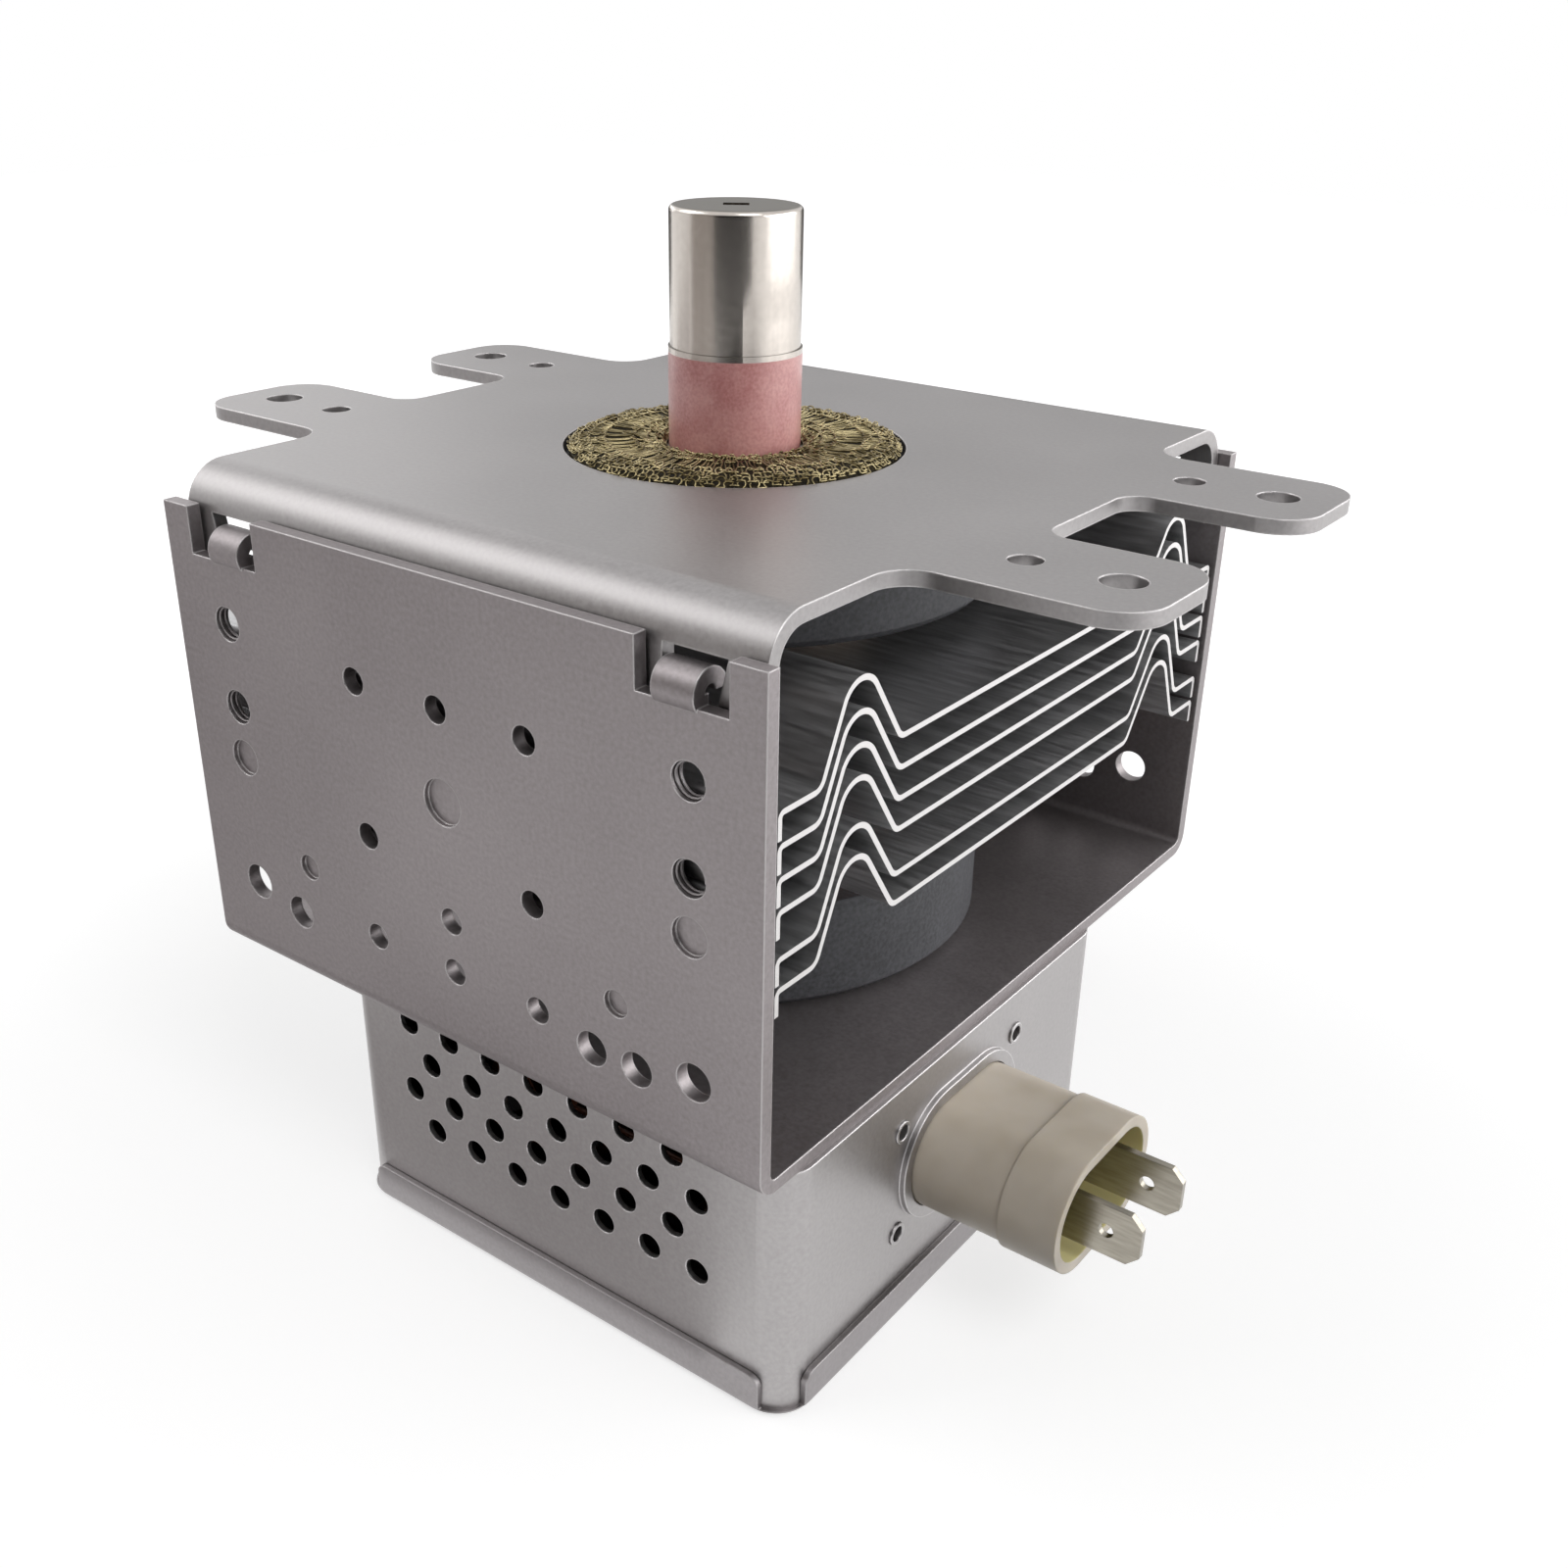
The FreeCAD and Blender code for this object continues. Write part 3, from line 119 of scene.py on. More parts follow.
def plated_steel(name, dark, pale, edge, roughness, streak_axis, metallic=1.0):
    """Zinc-plated sheet, streaked along one axis, with paler edges: partly wear, partly painted highlight.
    """
    material, tree = new_material(name)
    place = add(tree, "TexCoord").outputs["Object"]
    stretch = [per_metre(SPANGLE)] * 3
    stretch[streak_axis] = per_metre(STREAK)
    along_sheet = add(tree, "Mapping", {"Vector": place}, Scale=stretch)
    streaks = add(tree, "TexNoise", {"Vector": along_sheet}, Scale=1.0, Detail=3.0)
    spangle = add(tree, "TexNoise", {"Vector": place}, Scale=per_metre(SPANGLE), Detail=3.0)
    cloud = add(tree, "TexNoise", {"Vector": place}, Scale=per_metre(CLOUD), Detail=4.0)
    skin = add(tree, "Mix", {"A": streaks, "B": spangle}, data_type="FLOAT", Factor=0.85)
    clouded = add(tree, "Mix", {"A": skin, "B": cloud}, data_type="FLOAT", Factor=0.4)
    tone = add(tree, "ValToRGB", {"Fac": clouded}, stops=((0.36, dark), (0.64, pale)))
    soft = add(tree, "Bevel", samples=4, Radius=WORN_AND_HIGHLIT_EDGE)
    face = add(tree, "NewGeometry").outputs["True Normal"]
    flat = add(tree, "VectorMath", {0: soft, 1: face}, operation="DOT_PRODUCT").outputs["Value"]
    # Paler edges: partly worn by handling, partly a painted highlight on the rounded edges.
    worn_and_highlit_edge = add(tree, "MapRange", {"Value": flat}, From_Min=0.995, From_Max=0.85)
    colour = add(tree, "Mix", {"Factor": worn_and_highlit_edge, COLOUR_A: tone}, data_type="RGBA")
    colour.inputs[COLOUR_B].default_value = linear(edge)
    rough = add(tree, "MapRange", {"Value": clouded}, From_Min=0.3, From_Max=0.7, To_Min=roughness - 0.05,
                To_Max=roughness + 0.06)
    grain = add(tree, "Bump", {"Height": skin, "Normal": soft}, Strength=0.12, Distance=0.02 * MM)
    shader = add(tree, "BsdfPrincipled", {"Base Color": colour.outputs[COLOUR_OUT], "Roughness": rough,
                                          "Normal": grain}, Metallic=metallic)
    add(tree, "OutputMaterial", {"Surface": shader})
    return material


def dress(material, *names):
    """Give CAD nodes a finish in place of the plain one they were packed with."""
    for name in names:
        mesh = nodes[name].data
        mesh.materials.clear()
        mesh.materials.append(material)


frame_zinc = plated_steel("zinc plated rolled steel, frame", "#878182", "#9B9596", "#CFCCCC", 0.46, 0, 0.85)
dress(frame_zinc, "yoke_frame")

# Threads of the frame's tapped holes: two turns of a fine crest in each, cut through both walls' sheet.
# They have the frame's plated skin.
duct_screws = [mount for mount in frame["record"]["mounts"] if mount["name"] == "near_duct_screws"][0]
TAPPED_SIDE = duct_screws["dims"]["spacing_x_mm"] / 2 * MM
TAPPED_RISE = duct_screws["dims"]["spacing_y_mm"] / 2 * MM
TAPPED_MIDDLE = duct_screws["pos_m"][2]
WALL_FACE = abs(duct_screws["pos_m"][1])
CREST = 0.13 * MM
CREST_STAND = 0.11 * MM
CREST_RADIUS = duct_screws["dims"]["hole_r_mm"] * MM - CREST_STAND
CREST_INSET = 0.15 * MM
CREST_SIDES = 4
THREAD_STEPS = 20
THREAD_TURNS = 2


def thread(shape, along, height, wall_from, wall_to):
    """The crests of a tapped hole's thread: a fine helix that runs along Y through the wall."""
    steps = THREAD_STEPS * THREAD_TURNS
    rings = []
    for step in range(steps + 1):
        turn = 2 * math.pi * step / THREAD_STEPS
        deep = wall_from + (wall_to - wall_from) * step / steps
        ring = []
        for side in range(CREST_SIDES):
            spin = 2 * math.pi * side / CREST_SIDES
            radius = CREST_RADIUS + CREST * math.cos(spin)
            ring.append(shape.verts.new((along + radius * math.cos(turn), deep + CREST * math.sin(spin),
                                         height + radius * math.sin(turn))))
        rings.append(ring)
    for first, second in zip(rings, rings[1:]):
        for side in range(CREST_SIDES):
            after = (side + 1) % CREST_SIDES
            shape.faces.new((first[side], first[after], second[after], second[side]))
    shape.faces.new(rings[0])
    shape.faces.new(rings[-1][::-1])


def new_piece(name, shape, material):
    """A piece of the scene's own, made from a finished bmesh."""
    mesh = bpy.data.meshes.new(name)
    shape.to_mesh(mesh)
    shape.free()
    mesh.materials.append(material)
    piece = bpy.data.objects.new(name, mesh)
    bpy.context.scene.collection.objects.link(piece)
    return piece


thread_from = WALL_FACE - CREST_INSET
thread_to = WALL_FACE - SHEET + CREST_INSET
threads = bmesh.new()
for along in (-TAPPED_SIDE, TAPPED_SIDE):
    for height in (TAPPED_MIDDLE + TAPPED_RISE, TAPPED_MIDDLE - TAPPED_RISE):
        thread(threads, along, height, -thread_from, -thread_to)
        thread(threads, along, height, thread_to, thread_from)
bmesh.ops.recalc_face_normals(threads, faces=threads.faces)
tapped_threads = new_piece("tapped_threads", threads, frame_zinc)
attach(tapped_threads, "root")

# Top plate: the same plated sheet, drawn down at two sides to flanges that the frame's tongues hook into.
# Its four tabs carry the bolts to the oven's waveguide. It is painted brighter than the frame, for the light
# that falls on its top.
plate_zinc = plated_steel("zinc plated rolled steel, top plate", "#939090", "#A29F9F", "#DCD9D9", 0.42, 0)
dress(plate_zinc, "yoke_top_plate")

# Magnets: sintered strontium ferrite rings, a near-black ceramic that is ground flat and left with a grey
# dust in clouds 9 mm wide. The grain is a fine speckle with small pits, drawn at 0.5 mm so that it shows.
ferrite, tree = new_material("sintered ferrite, ground and dusty")
place = add(tree, "TexCoord").outputs["Object"]
speck = add(tree, "TexNoise", {"Vector": place}, Scale=per_metre(0.5), Detail=5.0)
dust = add(tree, "TexNoise", {"Vector": place}, Scale=per_metre(9), Detail=3.0)
mixed = add(tree, "Mix", {"A": speck, "B": dust}, data_type="FLOAT", Factor=0.35)
tone = add(tree, "ValToRGB", {"Fac": mixed}, stops=((0.38, "#3A3A3D"), (0.66, "#525357")))
soft = add(tree, "Bevel", samples=4, Radius=0.3 * MM)
pits = add(tree, "Bump", {"Height": speck, "Normal": soft}, Strength=0.5, Distance=0.05 * MM)
shader = add(tree, "BsdfPrincipled", {"Base Color": tone, "Normal": pits}, Roughness=0.62)
add(tree, "OutputMaterial", {"Surface": shader})
dress(ferrite, "upper_magnet", "lower_magnet")

# Cooling fins: 0.6 mm aluminium sheet, pressed with a collar that grips the anode. The faces are dull, with
# short faint marks of the rolls, and the sheared edges at both ends are bright, partly a painted highlight.
ROLL_MARK = 6
ROLL_GRAIN = 0.6
aluminium, tree = new_material("rolled aluminium sheet, sheared edges")
place = add(tree, "TexCoord").outputs["Object"]
stretch = add(tree, "Mapping", {"Vector": place},
              Scale=(per_metre(ROLL_MARK), per_metre(ROLL_GRAIN), per_metre(ROLL_GRAIN)))
rolled = add(tree, "TexNoise", {"Vector": stretch}, Scale=1.0, Detail=3.0)
tone = add(tree, "ValToRGB", {"Fac": rolled}, stops=((0.35, "#B4B4B5"), (0.65, "#CDCDCE")))
face = add(tree, "SeparateXYZ", {"Vector": add(tree, "NewGeometry").outputs["True Normal"]})
end_face = add(tree, "Math", {0: face.outputs["X"]}, operation="ABSOLUTE")
# The sheared ends: bright fresh cut metal, partly a painted highlight for the light that they face.
sheared_and_highlit = add(tree, "MapRange", {"Value": end_face}, From_Min=0.6, From_Max=0.8)
colour = add(tree, "Mix", {"Factor": sheared_and_highlit, COLOUR_A: tone}, data_type="RGBA")
colour.inputs[COLOUR_B].default_value = linear("#D2D0CF")
rough = add(tree, "MapRange", {"Value": rolled}, From_Min=0.3, From_Max=0.7, To_Min=0.38, To_Max=0.50)
shader = add(tree, "BsdfPrincipled", {"Base Color": colour.outputs[COLOUR_OUT], "Roughness": rough},
             Metallic=1.0)
add(tree, "OutputMaterial", {"Surface": shader})
dress(aluminium, *[name for name in nodes if name.startswith("fin_")])

# Anode, its vanes and strap rings: oxygen-free copper, turned and brazed in hydrogen. It keeps a soft pink
# lustre with fine turning marks round the cylinder, 0.4 mm apart.
copper, tree = new_material("hydrogen brazed copper")
place = add(tree, "TexCoord").outputs["Object"]
turning = add(tree, "Mapping", {"Vector": place}, Scale=(1.0, 1.0, per_metre(0.4)))
marks = add(tree, "TexNoise", {"Vector": turning}, Scale=1.0, Detail=2.0)
tone = add(tree, "ValToRGB", {"Fac": marks}, stops=((0.0, "#9C5F47"), (1.0, "#C9866A")))
shader = add(tree, "BsdfPrincipled", {"Base Color": tone}, Metallic=1.0, Roughness=0.38)
add(tree, "OutputMaterial", {"Surface": shader})
dress(copper, "anode_cylinder", "anode_vanes", "strap_rings_upper", "strap_rings_lower")

# Pole pieces and sealing cups: drawn soft iron and steel with a thin flash of nickel, brazed to the anode.
# The furnace leaves them satin grey with patches of warm tarnish, some 5 mm across.
sealing, tree = new_material("nickel flashed drawn steel")
place = add(tree, "TexCoord").outputs["Object"]
tarnish = add(tree, "TexNoise", {"Vector": place}, Scale=per_metre(5), Detail=4.0)
tone = add(tree, "ValToRGB", {"Fac": tarnish}, stops=((0.0, "#7C756C"), (1.0, "#A9A39A")))
shader = add(tree, "BsdfPrincipled", {"Base Color": tone}, Metallic=1.0, Roughness=0.36)
add(tree, "OutputMaterial", {"Surface": shader})
dress(sealing, "upper_pole_piece", "lower_pole_piece", "output_cup", "stem_cup")

# Output and stem ceramics: pink alumina, pressed dry, fired and left unglazed. The skin has a soft shine, a
# little depth, slight clouds and a fine grain, drawn at 0.35 mm so that it shows.
alumina, tree = new_material("fired pink alumina, unglazed")
place = add(tree, "TexCoord").outputs["Object"]
grain = add(tree, "TexNoise", {"Vector": place}, Scale=per_metre(0.35), Detail=4.0)
cloud = add(tree, "TexNoise", {"Vector": place}, Scale=per_metre(4), Detail=3.0)
mixed = add(tree, "Mix", {"A": grain, "B": cloud}, data_type="FLOAT", Factor=0.5)
tone = add(tree, "ValToRGB", {"Fac": mixed}, stops=((0.35, "#BE7977"), (0.65, "#DDA4A1")))
fine = add(tree, "Bump", {"Height": grain}, Strength=0.25, Distance=0.03 * MM)
shader = add(tree, "BsdfPrincipled", {"Base Color": tone, "Normal": fine}, Roughness=0.40, Coat_Weight=0.8,
             Coat_Roughness=0.3, Subsurface_Weight=0.2, Subsurface_Radius=(0.9, 0.4, 0.35),
             Subsurface_Scale=0.5 * MM)
add(tree, "OutputMaterial", {"Surface": shader})
dress(alumina, "output_ceramic", "stem_ceramic")

# Exhaust tube and antenna lead: soft copper, drawn as a tube and a rod. The tube is pinched off round the
# lead when the air is out, and both are hidden under the cap.
dress(copper, "exhaust_tube", "antenna_lead")

# Antenna cap: stainless steel, deep drawn from thin sheet and pushed over the ceramic's metal rim. Drawing
# leaves faint lines up its bright side and a slight orange peel. The crown is duller, with painted shade.
DRAWING_LINE = 16
DRAWING_GRAIN = 0.5
PEEL = 0.8
drawn, tree = new_material("deep drawn stainless steel")
place = add(tree, "TexCoord").outputs["Object"]
lines = add(tree, "Mapping", {"Vector": place},
            Scale=(per_metre(DRAWING_GRAIN), per_metre(DRAWING_GRAIN), per_metre(DRAWING_LINE)))
drawing = add(tree, "TexNoise", {"Vector": lines}, Scale=1.0, Detail=2.0)
peel = add(tree, "TexNoise", {"Vector": place}, Scale=per_metre(PEEL), Detail=2.0)
mixed = add(tree, "Mix", {"A": drawing, "B": peel}, data_type="FLOAT", Factor=0.6)
face = add(tree, "SeparateXYZ", {"Vector": add(tree, "NewGeometry").outputs["True Normal"]})
# Upward faces of the crown: rougher, and painted darker as shade.
crown = add(tree, "MapRange", {"Value": face.outputs["Z"]}, From_Min=0.75, From_Max=0.95)
tone = add(tree, "ValToRGB", {"Fac": mixed}, stops=((0.3, "#BFB8B1"), (0.7, "#C9C2BB")))
colour = add(tree, "Mix", {"Factor": crown, COLOUR_A: tone}, data_type="RGBA")
colour.inputs[COLOUR_B].default_value = linear("#6E6B66")
rough = add(tree, "MapRange", {"Value": crown}, To_Min=0.23, To_Max=0.5)
skin = add(tree, "Bump", {"Height": peel}, Strength=0.12, Distance=0.05 * MM)

# A shallow crease low on the cap, where it was gripped when it was pressed on. The side is sunk a little to
# the right of the crease, which dies out half-way up and round the back. Angles are bearings round the axis.
CREASE_FROM = math.radians(-46)
CREASE_TO = math.radians(-37)
FADE_FROM = math.radians(40)
FADE_TO = math.radians(140)
CREASE_DEPTH = 0.11 * MM
CREASE_FULL = 14.0 * MM
CREASE_END = 19.0 * MM
spot = add(tree, "SeparateXYZ", {"Vector": place})
bearing = add(tree, "Math", {0: spot.outputs["Y"], 1: spot.outputs["X"]}, operation="ARCTAN2")
away = add(tree, "MapRange", {"Value": bearing}, From_Min=CREASE_FROM, From_Max=CREASE_TO, To_Min=1.0,
           To_Max=0.0)
eased = add(tree, "Math", {0: away, 1: away}, operation="MULTIPLY")
round_back = add(tree, "MapRange", {"Value": bearing}, From_Min=FADE_FROM, From_Max=FADE_TO,
                 To_Min=-CREASE_DEPTH, To_Max=0.0)
sunk = add(tree, "MapRange", {"Value": eased, "To Min": round_back}, To_Max=0.0)
fading = add(tree, "MapRange", {"Value": spot.outputs["Z"]}, From_Min=CREASE_FULL, From_Max=CREASE_END,
             To_Min=1.0, To_Max=0.0, interpolation_type="SMOOTHSTEP")
dent = add(tree, "Math", {0: sunk, 1: fading}, operation="MULTIPLY")
crease = add(tree, "Bump", {"Height": dent, "Normal": skin}, Strength=1.0, Distance=1.0)
shader = add(tree, "BsdfPrincipled", {"Base Color": colour.outputs[COLOUR_OUT], "Roughness": rough,
                                      "Normal": crease}, Metallic=1.0)
add(tree, "OutputMaterial", {"Surface": shader})
dress(drawn, "antenna_cap")

# Radio-frequency gasket: a sleeve knitted from 0.2 mm brass wire, rolled flat into a ring round the ceramic.
# Its loops lie in rows round the ring, pulled a little uneven, and dark gaps show between them. The wire is
# bright where it is new, with brown tarnish in patches 2.2 mm across.
WALES = 86
ROWS_OVER = 9
WIRE = 0.20 * MM
WIRE_SIDES = 4
RING_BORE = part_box("output_ceramic")[1].x + 0.25 * MM
RING_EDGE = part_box("rf_gasket")[1].x + 0.3 * MM
RING_FOOT = -1.2 * MM
RING_RISE = 1.95 * MM
CROWN_FLATNESS = 0.62
EDGE_STEEPNESS = 0.42

# A loop's points, and its form in rows, in wales and in wires: how far it reaches over the next row, how far
# below its own row it starts, how much its legs pinch in, and how high it lifts where it crosses.
LOOP_POINTS = 14
LOOP_REACH = 1.35
LOOP_START = 0.7
LOOP_PINCH = 0.2
LOOP_CROSSING = 0.6


def ring_section(turn):
    """A point of the ring's section. Turn runs from 0 at its inner foot, over the flat crown, to 1 at its
    outer foot."""
    middle = (RING_BORE + RING_EDGE) / 2
    half = (RING_EDGE - RING_BORE) / 2
    angle = math.pi * (1 - turn)
    across = math.cos(angle)
    flat = math.copysign(abs(across) ** CROWN_FLATNESS, across)
    rise = max(math.sin(angle), 0.0) ** EDGE_STEEPNESS
    return middle + half * flat, RING_FOOT + rise * RING_RISE


brass, tree = new_material("knitted brass wire")
place = add(tree, "TexCoord").outputs["Object"]
tarnish = add(tree, "TexNoise", {"Vector": place}, Scale=per_metre(2.2), Detail=3.0)
tone = add(tree, "ValToRGB", {"Fac": tarnish}, stops=((0.35, "#675B3D"), (0.65, "#BDAF86")))
shader = add(tree, "BsdfPrincipled", {"Base Color": tone}, Metallic=1.0, Roughness=0.34)
add(tree, "OutputMaterial", {"Surface": shader})

pick = random.Random(7)
knit = bmesh.new()
section_step = 1.0 / (ROWS_OVER + 2)
for row in range(ROWS_OVER):
    row_at = (row + 1.5) * section_step
    row_shift = pick.uniform(-0.5, 0.5)
    points = []
    for wale in range(WALES):
        lean = pick.uniform(-0.4, 0.4)
        reach = pick.uniform(0.8, 1.25)
        lift = pick.uniform(-0.25, 0.3) * MM
        for step in range(LOOP_POINTS):
            phase = 2 * math.pi * step / LOOP_POINTS
            risen = (1 - math.cos(phase)) / 2
            round_by = (wale + phase / (2 * math.pi) + LOOP_PINCH * math.sin(2 * phase) + row_shift
                        + lean * risen)
            along = row_at + section_step * (LOOP_REACH * reach * risen - LOOP_START)
            radius, height = ring_section(min(max(along, 0.0), 1.0))
            angle = 2 * math.pi * round_by / WALES
            over = height + WIRE * LOOP_CROSSING * math.cos(2 * phase) + lift * risen
            points.append(Vector((radius * math.cos(angle), radius * math.sin(angle), over)))
    rings = []
    for number, point in enumerate(points):
        ahead = points[(number + 1) % len(points)]
        behind = points[number - 1]
        tangent = (ahead - behind).normalized()
        side = tangent.cross(Vector((0, 0, 1))).normalized()
        top = side.cross(tangent)
        ring = []
        for corner in range(WIRE_SIDES):
            spin = 2 * math.pi * (corner + 0.5) / WIRE_SIDES
            ring.append(knit.verts.new(point + (side * math.cos(spin) + top * math.sin(spin)) * WIRE / 2))
        rings.append(ring)
    for first, second in zip(rings, rings[1:] + rings[:1]):
        for corner in range(WIRE_SIDES):
            after = (corner + 1) % WIRE_SIDES
            face = knit.faces.new((first[corner], first[after], second[after], second[corner]))
            face.smooth = True
knit.normal_update()
gasket = new_piece("rf_gasket_knit", knit, brass)
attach(gasket, "root")
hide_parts("rf_gasket")

# Inner turns of the rolled sleeve: the same brass wire, pressed together under the outer turns. Only a dark
# bed shows between the loops, painted near black as shade, with knots 0.6 mm across.
BED_STEPS = 16
BED_SIDES = 96
BED_INSET = 0.25 * MM
BED_DEPTH = 0.42 * MM
bed = bmesh.new()
loops = []
for side in range(BED_SIDES):
    angle = 2 * math.pi * side / BED_SIDES
    loop = []
    for step in range(BED_STEPS + 1):
        radius, height = ring_section(step / BED_STEPS)
        radius += (1 - 2 * step / BED_STEPS) * BED_INSET
        loop.append(bed.verts.new((radius * math.cos(angle), radius * math.sin(angle), height - BED_DEPTH)))
    loops.append(loop)
for first, second in zip(loops, loops[1:] + loops[:1]):
    for step in range(BED_STEPS):
        face = bed.faces.new((first[step], second[step], second[step + 1], first[step + 1]))
        face.smooth = True
    bed.faces.new((first[BED_STEPS], second[BED_STEPS], second[0], first[0]))
bmesh.ops.recalc_face_normals(bed, faces=bed.faces)
shade_painted_brass, tree = new_material("brass painted dark for shade")
place = add(tree, "TexCoord").outputs["Object"]
knots = add(tree, "TexNoise", {"Vector": place}, Scale=per_metre(0.6), Detail=2.0)
# The bed's near-black colour is painted shade between the loops.
tone = add(tree, "ValToRGB", {"Fac": knots}, stops=((0.4, "#1E1A11"), (0.7, "#4A4129")))
shader = add(tree, "BsdfPrincipled", {"Base Color": tone}, Metallic=0.6, Roughness=0.7)
add(tree, "OutputMaterial", {"Surface": shader})
gasket_bed = new_piece("rf_gasket_bed", bed, shade_painted_brass)
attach(gasket_bed, "root")

# Cathode: a coil of thoriated tungsten, carburised to a dull grey, between molybdenum hats on molybdenum
# leads, which end in the stem's terminals under the frame. The skin is finely mottled.
cathode, tree = new_material("carburised tungsten and molybdenum")
place = add(tree, "TexCoord").outputs["Object"]
mottle = add(tree, "TexNoise", {"Vector": place}, Scale=per_metre(0.4), Detail=3.0)
tone = add(tree, "ValToRGB", {"Fac": mottle}, stops=((0.0, "#5E5C5B"), (1.0, "#878585")))
shader = add(tree, "BsdfPrincipled", {"Base Color": tone}, Metallic=1.0, Roughness=0.45)
add(tree, "OutputMaterial", {"Surface": shader})
dress(cathode, "filament", "upper_end_hat", "lower_end_hat", "centre_lead", "side_lead", "stem_terminals")

# Filter box and its lid: thinner plated steel, drawn and pierced. The box is painted paler than the frame,
# for the light from the right on it, and the lid is a pressing that grips its open end, coloured darker.
box_zinc = plated_steel("zinc plated drawn steel, filter box", "#9F9C9C", "#ADAAAA", "#D8D6D6", 0.40, 2)
dress(box_zinc, "filter_box", "capacitor_holder")
lid_zinc = plated_steel("zinc plated pressed steel, lid", "#8A8687", "#989495", "#A9A6A6", 0.40, 0)
dress(lid_zinc, "box_lid")

# Choke cores: ferrite rods, pressed and fired, with the windings pushed over them. They are near-black and
# smooth, with a fine speckle.
rod_ferrite, tree = new_material("pressed ferrite rod")
place = add(tree, "TexCoord").outputs["Object"]
speck = add(tree, "TexNoise", {"Vector": place}, Scale=per_metre(0.3), Detail=3.0)
tone = add(tree, "ValToRGB", {"Fac": speck}, stops=((0.0, "#1D1D1F"), (1.0, "#333336")))
shader = add(tree, "BsdfPrincipled", {"Base Color": tone}, Roughness=0.5)
add(tree, "OutputMaterial", {"Surface": shader})
dress(rod_ferrite, "ferrite_core_1", "ferrite_core_2")

# Chokes: enamelled copper wire, wound close on the ferrite rods. The clear enamel is glossy. Light and dark
# rings are a painted highlight and shade for the turns, drawn wider than the real ones so that they show.
CHOKE_RING = 2.566

# At a scale of 1, a wave texture repeats after this length.
WAVE_SPAN = math.pi / 10
enamel, tree = new_material("enamelled copper wire")
place = add(tree, "TexCoord").outputs["Object"]
# The rings: painted highlight on each turn and painted shade between the turns.
turns = add(tree, "TexWave", {"Vector": place}, Scale=per_metre(CHOKE_RING) * WAVE_SPAN,
            bands_direction="Y", Distortion=0.3)
tone = add(tree, "ValToRGB", {"Fac": turns.outputs[1]}, stops=((0.0, "#3A2018"), (1.0, "#7A4A32")))
shader = add(tree, "BsdfPrincipled", {"Base Color": tone}, Metallic=0.9, Roughness=0.3, Coat_Weight=0.6)
add(tree, "OutputMaterial", {"Surface": shader})
dress(enamel, "choke_coil_1", "choke_coil_2")

# Capacitor: two plates with their leads, cast in epoxy inside the holder. The resin is dull dark brown, with
# flow marks 3 mm wide.
epoxy, tree = new_material("cast epoxy resin")
place = add(tree, "TexCoord").outputs["Object"]
flow = add(tree, "TexNoise", {"Vector": place}, Scale=per_metre(3), Detail=2.0)
tone = add(tree, "ValToRGB", {"Fac": flow}, stops=((0.0, "#3A241C"), (1.0, "#5A3B2E")))
shader = add(tree, "BsdfPrincipled", {"Base Color": tone}, Roughness=0.42)
add(tree, "OutputMaterial", {"Surface": shader})
dress(epoxy, "capacitor_body")

# Connector shell: glass-filled polyester, moulded in ivory. The skin is satin and faintly cloudy. It lets a
# little light in at its thin rim, and inside the socket a yellow glow is painted for light through the wall.
shell_low, shell_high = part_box("connector_shell")
shell_middle = [(low + high) / 2 for low, high in zip(shell_low, shell_high)]
ivory, tree = new_material("moulded ivory polyester")
place = add(tree, "TexCoord").outputs["Object"]
streak = add(tree, "TexNoise", {"Vector": place}, Scale=per_metre(6), Detail=2.0)
tone = add(tree, "ValToRGB", {"Fac": streak}, stops=((0.35, "#C6BBAA"), (0.65, "#D0C6B7")))
outward = add(tree, "VectorMath", {0: place}, operation="SUBTRACT")
outward.inputs[1].default_value = shell_middle
flattened = add(tree, "VectorMath", {0: outward}, operation="MULTIPLY")
flattened.inputs[1].default_value = (0.0, 1.0, 1.0)
face = add(tree, "NewGeometry").outputs["True Normal"]
facing = add(tree, "VectorMath", {0: flattened, 1: face}, operation="DOT_PRODUCT").outputs["Value"]
# Inside the socket: a painted yellow glow for the light that shines through the thin wall.
inside = add(tree, "MapRange", {"Value": facing}, From_Min=-0.5 * MM, From_Max=-2.5 * MM)
colour = add(tree, "Mix", {"Factor": inside, COLOUR_A: tone}, data_type="RGBA")
colour.inputs[COLOUR_B].default_value = linear("#DDD59F")
soft = add(tree, "Bevel", samples=4, Radius=0.3 * MM)
skin = add(tree, "Bump", {"Height": streak, "Normal": soft}, Strength=0.1, Distance=0.05 * MM)
shader = add(tree, "BsdfPrincipled", {"Base Color": colour.outputs[COLOUR_OUT], "Normal": skin},
             Roughness=0.42, Subsurface_Weight=0.25, Subsurface_Radius=(1.0, 0.8, 0.45),
             Subsurface_Scale=1.0 * MM)
add(tree, "OutputMaterial", {"Surface": shader})
dress(ivory, "connector_shell")

# Terminals: tinned brass blades, blanked from 0.8 mm strip and pushed through the shell. The tin is satin,
# with marks along the blade, 4 mm long and 0.5 mm wide, from the sockets that slide on.
tinned, tree = new_material("tinned brass blade")
place = add(tree, "TexCoord").outputs["Object"]
stretch = add(tree, "Mapping", {"Vector": place}, Scale=(per_metre(4), per_metre(0.5), per_metre(0.5)))
marks = add(tree, "TexNoise", {"Vector": stretch}, Scale=1.0, Detail=3.0)
tone = add(tree, "ValToRGB", {"Fac": marks}, stops=((0.35, "#8E897F"), (0.65, "#A19C91")))
soft = add(tree, "Bevel", samples=4, Radius=0.15 * MM)
shader = add(tree, "BsdfPrincipled", {"Base Color": tone, "Normal": soft}, Metallic=1.0, Roughness=0.3)
